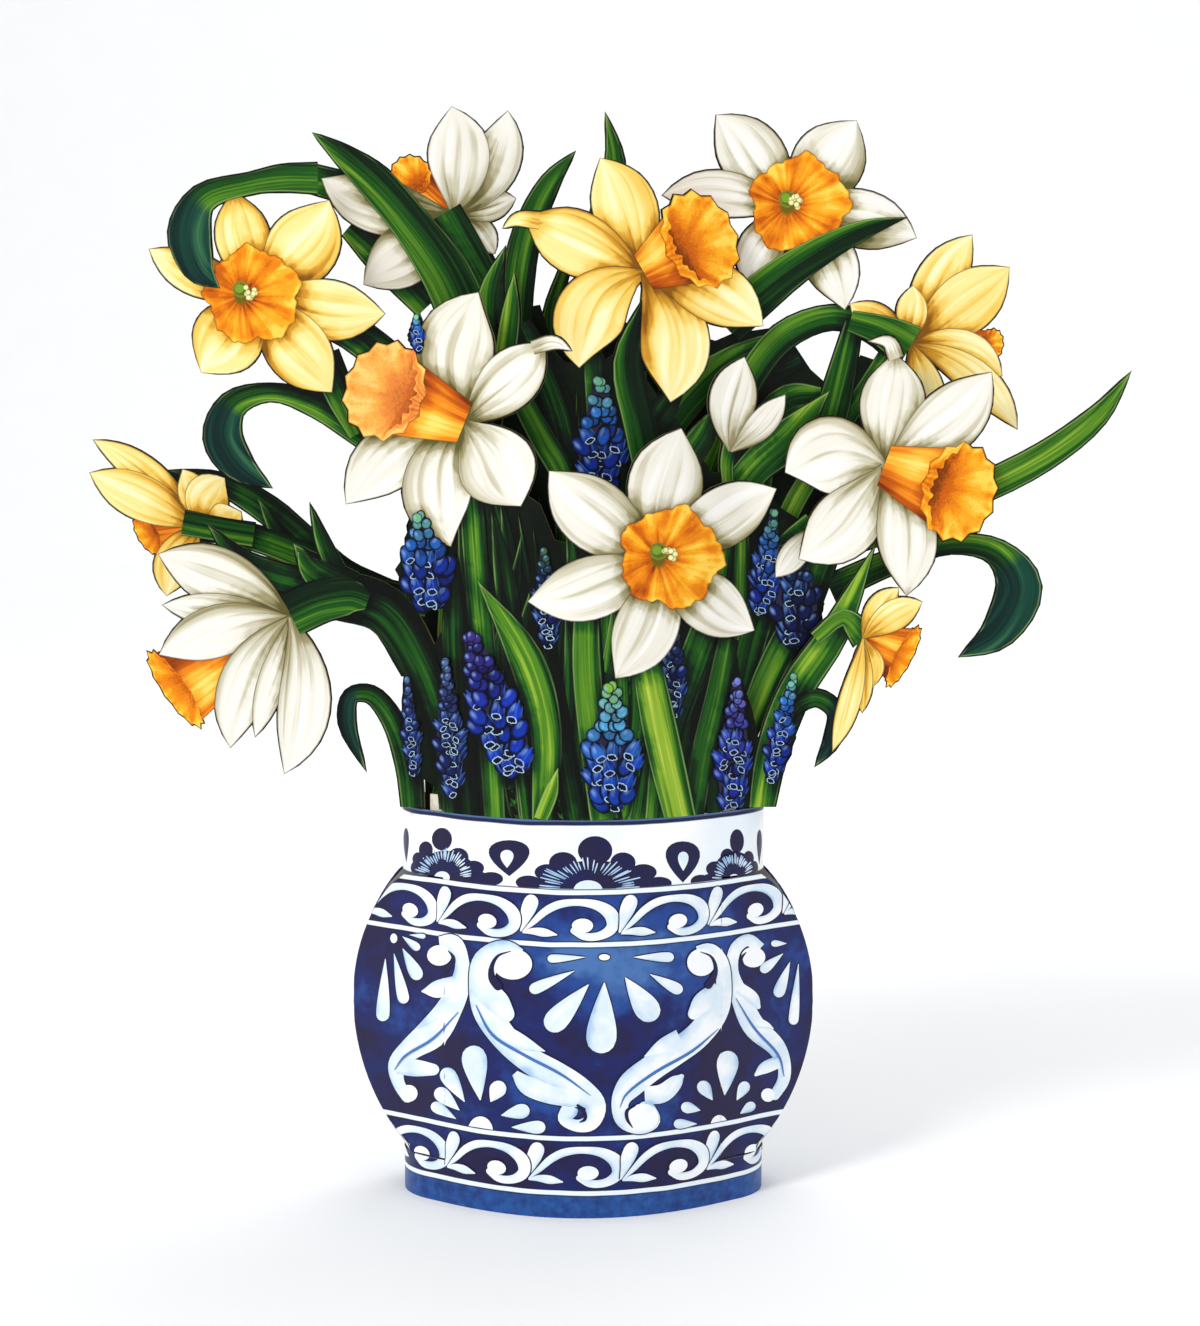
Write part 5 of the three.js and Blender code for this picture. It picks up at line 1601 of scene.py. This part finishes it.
SCROLL_VEINS = [
    [[-30.5, 52, 0.3], [-26, 43.5, 0.9], [-17, 37.5, 0.9], [-6, 31.5, 0.8], [2, 25.5, 0.2]],
    [[38.5, 45, 0.2], [31, 38.5, 0.8], [20, 32, 0.9], [12, 25.5, 0.6], [10.5, 22, 0.2]],
    [[-35.5, 50, 0.2], [-43, 42, 0.8], [-51, 37, 0.7], [-54, 33, 0.2]],
    [[43.5, 54, 0.2], [49, 45, 0.7], [56, 37, 0.7], [57.5, 31, 0.2]],
]
FIELD_DROPS = [
    [[0.5, 66], [-10.5, 65.5, 2.5]], [[14.5, 66], [26, 66, 3]], [[-2.5, 62], [-15.5, 56, 3.5]],
    [[19, 61], [28, 56, 3.5]], [[1.5, 58], [-9.5, 45.5, 7]], [[12, 60], [19.5, 49, 7.5]],
    [[6, 58.5], [5, 39.5, 9]], [[-51.5, 72], [-47, 68.5, 2.5]], [[-51.5, 68.5], [-47, 60, 4]],
    [[-54, 67], [-51, 52, 3.5]], [[-56.5, 65.5], [-57.5, 46.5, 4]], [[-49.5, 72.5], [-45, 72, 1.5]],
    [[57, 67], [51, 62, 3]], [[59, 64.5], [55.5, 54.5, 3.5]], [[61.5, 64], [60, 45, 3]],
    [[58, 70], [54, 70, 2]],
]
DAISY_PETALS = [
    [[-29.5, 24], [-31.5, 38.5, 7.5]], [[-34, 23.5], [-39.5, 32.5, 5]], [[-35.5, 21], [-41.5, 26.5, 4.5]],
    [[-36.5, 18.5], [-43, 22.5, 3.5]], [[-26.5, 23.5], [-24, 28, 5]], [[-23.5, 19.5], [-16.5, 21, 4.5]],
    [[-20.5, 16], [-11.5, 16, 4]], [[40.5, 25.5], [41.5, 37, 6.5]], [[37, 24], [34, 28.5, 4]],
    [[33.5, 21], [29, 22, 3.5]], [[32.5, 17], [26.5, 17, 3]], [[44, 24], [46.5, 28.5, 3.5]],
    [[45, 20], [48.5, 22.5, 3]],
]
DAISY_HEARTS = [[-29.5, 14.8, 3.6, 4.4], [39, 16, 2.6, 3.6]]
FIELD_DISCS = [[6, 66, 1.6, 0.9], [-54, 71.5, 1, 1.4]]
NECK_LOBES = [
    [3.4, 97, 4.9, 4.2], [-5.7, 93.4, 4, 3.2], [11.3, 93.5, 3.6, 3], [-10.2, 90.7, 3.6, 2.4],
    [17.1, 90.7, 3.8, 2.4], [-15.6, 87.8, 3.6, 2], [21.6, 87.5, 3.6, 1.9], [3, 85.8, 17, 8.3],
    [-40.1, 100.3, 2.9, 3.3], [-44.7, 97.2, 2, 2.5], [-35.5, 95, 3, 2.8], [-47, 94.5, 1.5, 2],
    [-31.1, 91.9, 3, 2.2], [-47.5, 92, 1.5, 2], [-26.2, 88.8, 3.5, 2], [-31, 88.5, 5, 2.6],
    [-39, 89, 9, 8], [43.7, 99.7, 2, 3.5], [41, 95.2, 2, 2.4], [47, 94.7, 1.5, 2.2],
    [37.5, 91.7, 2.6, 2.2], [48.7, 92, 1, 2], [33.5, 88, 3, 2], [37, 88, 4, 2.4], [43, 88.8, 6.5, 8],
]
ROSETTES = [[1.7, 85.6, 15.5, 9.7], [-39.6, 89, 8.6, 8.8], [43, 88.8, 6.3, 7.6]]
ROSETTE_LINES = 29
ROSETTE_HEARTS = [[1.4, 85.6, 4.1, 2.8], [-40.1, 89.2, 2.2, 1.8], [43, 88.9, 1.5, 1.3]]
NECK_DROPS = [
    [-21, 94.8, 12.5, 10.5], [28.3, 93.7, 10.5, 12], [-50.2, 98.5, 1.6, 10], [50, 98, 1.5, 10],
]
NECK_DROP_EYES = [[-21.6, 94.6, 4, 5.2], [28.4, 93.9, 3.2, 5.6]]

# One wave of the running scroll, from the middle of its eye
WAVE_STROKES = [
    [[-18.6, -2.4, 0.4], [-17.4, 0.6, 2.2], [-16.4, 3.6, 4], [-15.4, 5.9, 4.2]],
    [[-18, -2.7, 0.4], [-15, -2.2, 1.8], [-11.6, -2.4, 2.4], [-8, -2.9, 0.4]],
    [
        [-18, -2.5, 0.3], [-14.8, 0.3, 1.5], [-11.4, 3.4, 2.1], [-7.4, 5.5, 2.2], [-1.8, 6.2, 1.9],
        [4, 5.2, 2.8], [7.7, 2.4, 3.8], [7.9, -0.8, 3.3], [4.8, -3, 2.4], [0, -3.3, 2.1], [-3.1, -1.7, 1.8],
    ],
]
WAVE_EYE = [-0.6, -0.3, 2.9, 2]
SEEN_SCALE = 0.955

# A band of waves: where its middle wave's eye is, the way to the next one, and its height
UPPER_BAND = {"first": 0.6, "period": 27.2, "height": 82.7}
LOWER_BAND = {"first": 2.1, "period": 26.1, "height": 13.2}

# How far the dark line reaches round a white shape, and the sheet heights under which the neck's
# shapes and the daisies' hearts are cut off
BRUSH_LINE = 0.35
NECK_LINE = 92.6
FIELD_LINE = 23.5


def stroke_edges(points, grow=0.0):
    """A brush stroke with a round end; grow widens it on every side."""
    curve = catmull_rom(points, 5)
    half = np.maximum(curve[:, 2] / 2, 0.08) + grow
    line = curve[:, :2]
    end = line[-1] - line[-2]
    end /= np.linalg.norm(end)
    a = np.radians([30, 55, 75, 90])
    cap = line[-1] + end * half[-1] * np.sin(a)[:, None]
    return band(np.vstack([line, cap]), np.concatenate([half, half[-1] * np.cos(a)]))


def drop_points(start, finish):
    """A drop's line: a thin start that swells to a round end."""
    a = np.array(start, float)
    b = np.array(finish[:2], float)
    width = finish[2]
    return [[*(a + (b - a) * t), width * w] for t, w in ((0, 0.04), (0.35, 0.55), (0.7, 0.92), (0.86, 0.96))]


def teardrop(width, height):
    """A closed rim, broad at the top and pointed at the foot."""
    a = np.linspace(0, 2 * math.pi, 25)
    return np.stack([width * 0.62 * np.sin(a) * np.sin(a / 2) ** 1.1, -height / 2 * np.cos(a)], 1)


def ellipse(half_width, half_height, grow=0.0):
    count = max(18, int(6 * max(half_width, half_height)))
    a = np.linspace(0, 2 * math.pi, count + 1)
    return np.stack([(half_width + grow) * np.cos(a), (half_height + grow) * np.sin(a)], 1)


def disc(ink, middle, rim, wet=0.0):
    """A small filled shape, its ink even from side to side."""
    rings = max(3, int(np.abs(rim).max()))
    patch = round_patch(ink, middle, rim, (wet, 0, 0), rings)
    patch.spot[..., 1] = 0
    return patch


def painted(strokes, discs, cuts, zones, wet=0.1, level=PAINT_LEVEL):
    """White shapes with one dark line round them all, then dark cuts inside."""
    dark = [band_patch("cobalt", stroke_edges(s, BRUSH_LINE), (0, 0, 0)) for s in strokes]
    dark += [disc("cobalt", d[:2], ellipse(*d[2:], BRUSH_LINE)) for d in discs]
    white = [band_patch("slip", stroke_edges(s), (wet, 0, 0)) for s in strokes]
    white += [disc("slip", d[:2], ellipse(*d[2:]), wet - 0.3) for d in discs]
    inner = [band_patch("cobalt", stroke_edges(s), (0, 0, 0)) for s in cuts]
    for i, patch in enumerate(white):
        patch.level = level + 1 + i * WHITE_RISE
    for patch in dark:
        patch.level = level
    for patch in inner:
        patch.level = level + PAINT_RISE - 1
    for patch in (*dark, *white, *inner):
        patch.zones = zones
    return [*dark, *white, *inner]


def seen_wave(points, place):
    """A wave's points moved to its place on the sheet; that far from the middle, seen scale."""
    return [[place[0] + p[0] * SEEN_SCALE, place[1] + p[1], *p[2:]] for p in points]


def wave_band(first, period, height):
    patches = []
    for k in range(-3, 4):
        place = (first + k * period, height)
        strokes = [seen_wave(stroke, place) for stroke in WAVE_STROKES]
        eye = seen_wave([WAVE_EYE], place)
        level = PAINT_LEVEL + PAINT_RISE * (k % 2)
        patches += painted(strokes, eye, [], ("middle", "belly", "foot"), level=level)
    for patch in patches:
        patch.on_sheet = True
    return patches


def rosette_strokes(x, z, half_width, half_height):
    """The fine white lines that fan out in a rosette."""
    strokes = []
    for angle in np.linspace(4, 176, ROSETTE_LINES):
        a = math.radians(angle + rng.uniform(-2, 2))
        near, far = rng.uniform(0.5, 0.64), rng.uniform(0.8, 1)
        line = [
            [x + half_width * t * math.cos(a), z + half_height * t * math.sin(a), w]
            for t, w in ((near, 0.12), ((near + far) / 2, 0.42), (far, 0.3))
        ]
        strokes.append(line)
    return strokes


def ornament():
    """All the painted shapes of one side of the vase, in drawing order."""
    belly = ("middle", "belly")
    neck = ("middle", "neck")
    patches = []
    daisies = [drop_points(*drop) for drop in DAISY_PETALS]
    patches += painted(daisies, [], [], belly, 0.25)
    patches += painted([drop_points(*drop) for drop in FIELD_DROPS], FIELD_DISCS, [], belly, 0.2)
    hearts = painted([], DAISY_HEARTS, [], belly)
    for patch in hearts:
        patch.lowest = FIELD_LINE
    patches += hearts
    patches += painted(OUTER_SCROLLS, OUTER_EYES, OUTER_CUTS, belly, 0.15)
    patches += painted(INNER_SCROLLS, INNER_EYES, INNER_CUTS, belly, 0.15, PAINT_LEVEL + PAINT_RISE)
    for vein in SCROLL_VEINS:
        patch = band_patch("cobalt", stroke_edges(vein), (1.0, 0, 0))
        patch.level = PAINT_LEVEL + 2 * PAINT_RISE
        patch.zones = belly
        patches.append(patch)
    patches += wave_band(**UPPER_BAND)
    patches += wave_band(**LOWER_BAND)
    navy = [disc("cobalt", lobe[:2], ellipse(*lobe[2:])) for lobe in NECK_LOBES]
    navy += [disc("cobalt", drop[:2], teardrop(*drop[2:])) for drop in NECK_DROPS]
    fine = [stroke for rosette in ROSETTES for stroke in rosette_strokes(*rosette)]
    pale = [band_patch("slip", stroke_edges(stroke), (0.6, 0, 0)) for stroke in fine]
    pale += [disc("slip", eye[:2], teardrop(*eye[2:]), 0.2) for eye in NECK_DROP_EYES]
    pale += [disc("slip", heart[:2], ellipse(*heart[2:]), 0.2) for heart in ROSETTE_HEARTS]
    for patch in navy + pale:
        patch.level = PAINT_LEVEL if patch.ink == "cobalt" else PAINT_LEVEL + 1
        patch.zones = neck
        patch.lowest = NECK_LINE
    return patches + navy + pale


# Assembly

BELLY_WING = belly_section(*FRONT)
CORNER_WING = corner_section(*FRONT)

# Each card's name, layer, side, motifs and slot, and how many leaves grow behind its motifs
SPRAYS = (
    ("front", FRONT, 1, FRONT_MOTIFS, "vase_card", 60),
    ("second", SECOND, 1, SECOND_MOTIFS, "spray_card", 60),
    ("third", THIRD, 1, THIRD_MOTIFS, "spray_card", 40),
    ("middle", MIDDLE, 1, MIDDLE_MOTIFS, "spray_card", 40),
    ("rear_third", THIRD, -1, THIRD_MOTIFS, "spray_card", 40),
    ("rear_second", SECOND, -1, SECOND_MOTIFS, "spray_card", 60),
    ("rear", FRONT, -1, FRONT_MOTIFS, "vase_card", 60),
)

for name, layer, side, motifs, slot, grass in SPRAYS:
    foot = (RIM + FOOT_INSET, SPRAY_FOOT + FOOT_INSET) if layer is FRONT else None
    card = Card(f"{name}_spray", spray_section(*layer), side, slot, foot)
    dress(card, motifs, grass)
    card.build()
    if layer is FRONT:
        vase = Vase(f"{name}_vase", None, side, slot, None)
        vase.lay(*ground_patches(), *ornament())
        vase.build()

spray_board, vase_board, plain_board = spray_stock(), vase_stock(), plain_stock()
for name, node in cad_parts.items():
    board = plain_board if name.endswith("spacer") else spray_board
    if name in ("front_card", "rear_card"):
        board = vase_board
    for holder in node.material_slots:
        holder.material = board


# Floor, light and camera, in metres

FLOOR_FRONT = -3.0
FLOOR_BACK = 1.6
FLOOR_HALF = 4.0
WALL_TOP = 4.0
AIM_HEIGHT = 0.15
SWEEP = 1.0
SWEEP_STEPS = 12


def backdrop():
    """A pale floor that sweeps up into a wall behind."""
    profile = [(FLOOR_FRONT, 0.0), (FLOOR_BACK, 0.0)]
    for i in range(1, SWEEP_STEPS + 1):
        a = math.pi / 2 * i / SWEEP_STEPS
        profile.append((FLOOR_BACK + SWEEP * math.sin(a), SWEEP * (1 - math.cos(a))))
    profile.append((FLOOR_BACK + SWEEP, WALL_TOP))
    corners = [(x, y, z) for y, z in profile for x in (-FLOOR_HALF, FLOOR_HALF)]
    faces = [(2 * i, 2 * i + 1, 2 * i + 3, 2 * i + 2) for i in range(len(profile) - 1)]
    mesh = bpy.data.meshes.new("floor")
    mesh.from_pydata(corners, [], faces)
    mesh.shade_smooth()
    ink = Ink("floor_paint", 0.9)
    x, y, z = ink.place()
    mottle = ink.noise(x * 0.02, y * 0.02, z * 0.02)
    ink.finish(ink.mix((0.955, 0.96, 0.965), (0.97, 0.972, 0.975), mottle))
    mesh.materials.append(ink.material)
    floor = bpy.data.objects.new("floor", mesh)
    bpy.context.scene.collection.objects.link(floor)


def lamp(name, place, aim, size, power):
    light = bpy.data.lights.new(name, "AREA")
    light.shape = "DISK"
    light.size = size
    light.energy = power
    piece = bpy.data.objects.new(name, light)
    piece.location = place
    piece.rotation_euler = (Vector(aim) - Vector(place)).to_track_quat("-Z", "Y").to_euler()
    bpy.context.scene.collection.objects.link(piece)


backdrop()

# Lamps aim at the bouquet's middle; the last one lights the wall behind it
middle = (AXIS, 0, AIM_HEIGHT)
lamp("key_light", (-1.1, -1.3, 1.5), middle, 0.7, 20)
lamp("fill_light", (1.3, -1.4, 0.9), middle, 1.6, 3)
lamp("back_light", (0.4, 1.0, 1.6), (0, 1.2, 0.3), 1.6, 12)

world = bpy.data.worlds.new("studio")
bpy.context.scene.world = world
world.use_nodes = True
world.node_tree.nodes["Background"].inputs["Color"].default_value = (0.985, 0.992, 1, 1)
world.node_tree.nodes["Background"].inputs["Strength"].default_value = 0.72
bpy.context.scene.view_settings.view_transform = "Standard"

# The camera fitted to the photo: its height and focal length in photo pixels, and its tilt
PHOTO_HEIGHT = 1326
FOCAL_LENGTH = 2830
DOWN_TILT = 6.07
CAMERA_X = 4.83

lens = bpy.data.cameras.new("camera")
lens.sensor_fit = "VERTICAL"
lens.sensor_height = 36
lens.lens = lens.sensor_height * FOCAL_LENGTH / PHOTO_HEIGHT
camera = bpy.data.objects.new("camera", lens)
camera.location = (AXIS + CAMERA_X * MM, SIGHT.y * MM, SIGHT.z * MM)
camera.rotation_euler = (math.radians(90 - DOWN_TILT), 0, 0)
bpy.context.scene.collection.objects.link(camera)
bpy.context.scene.camera = camera
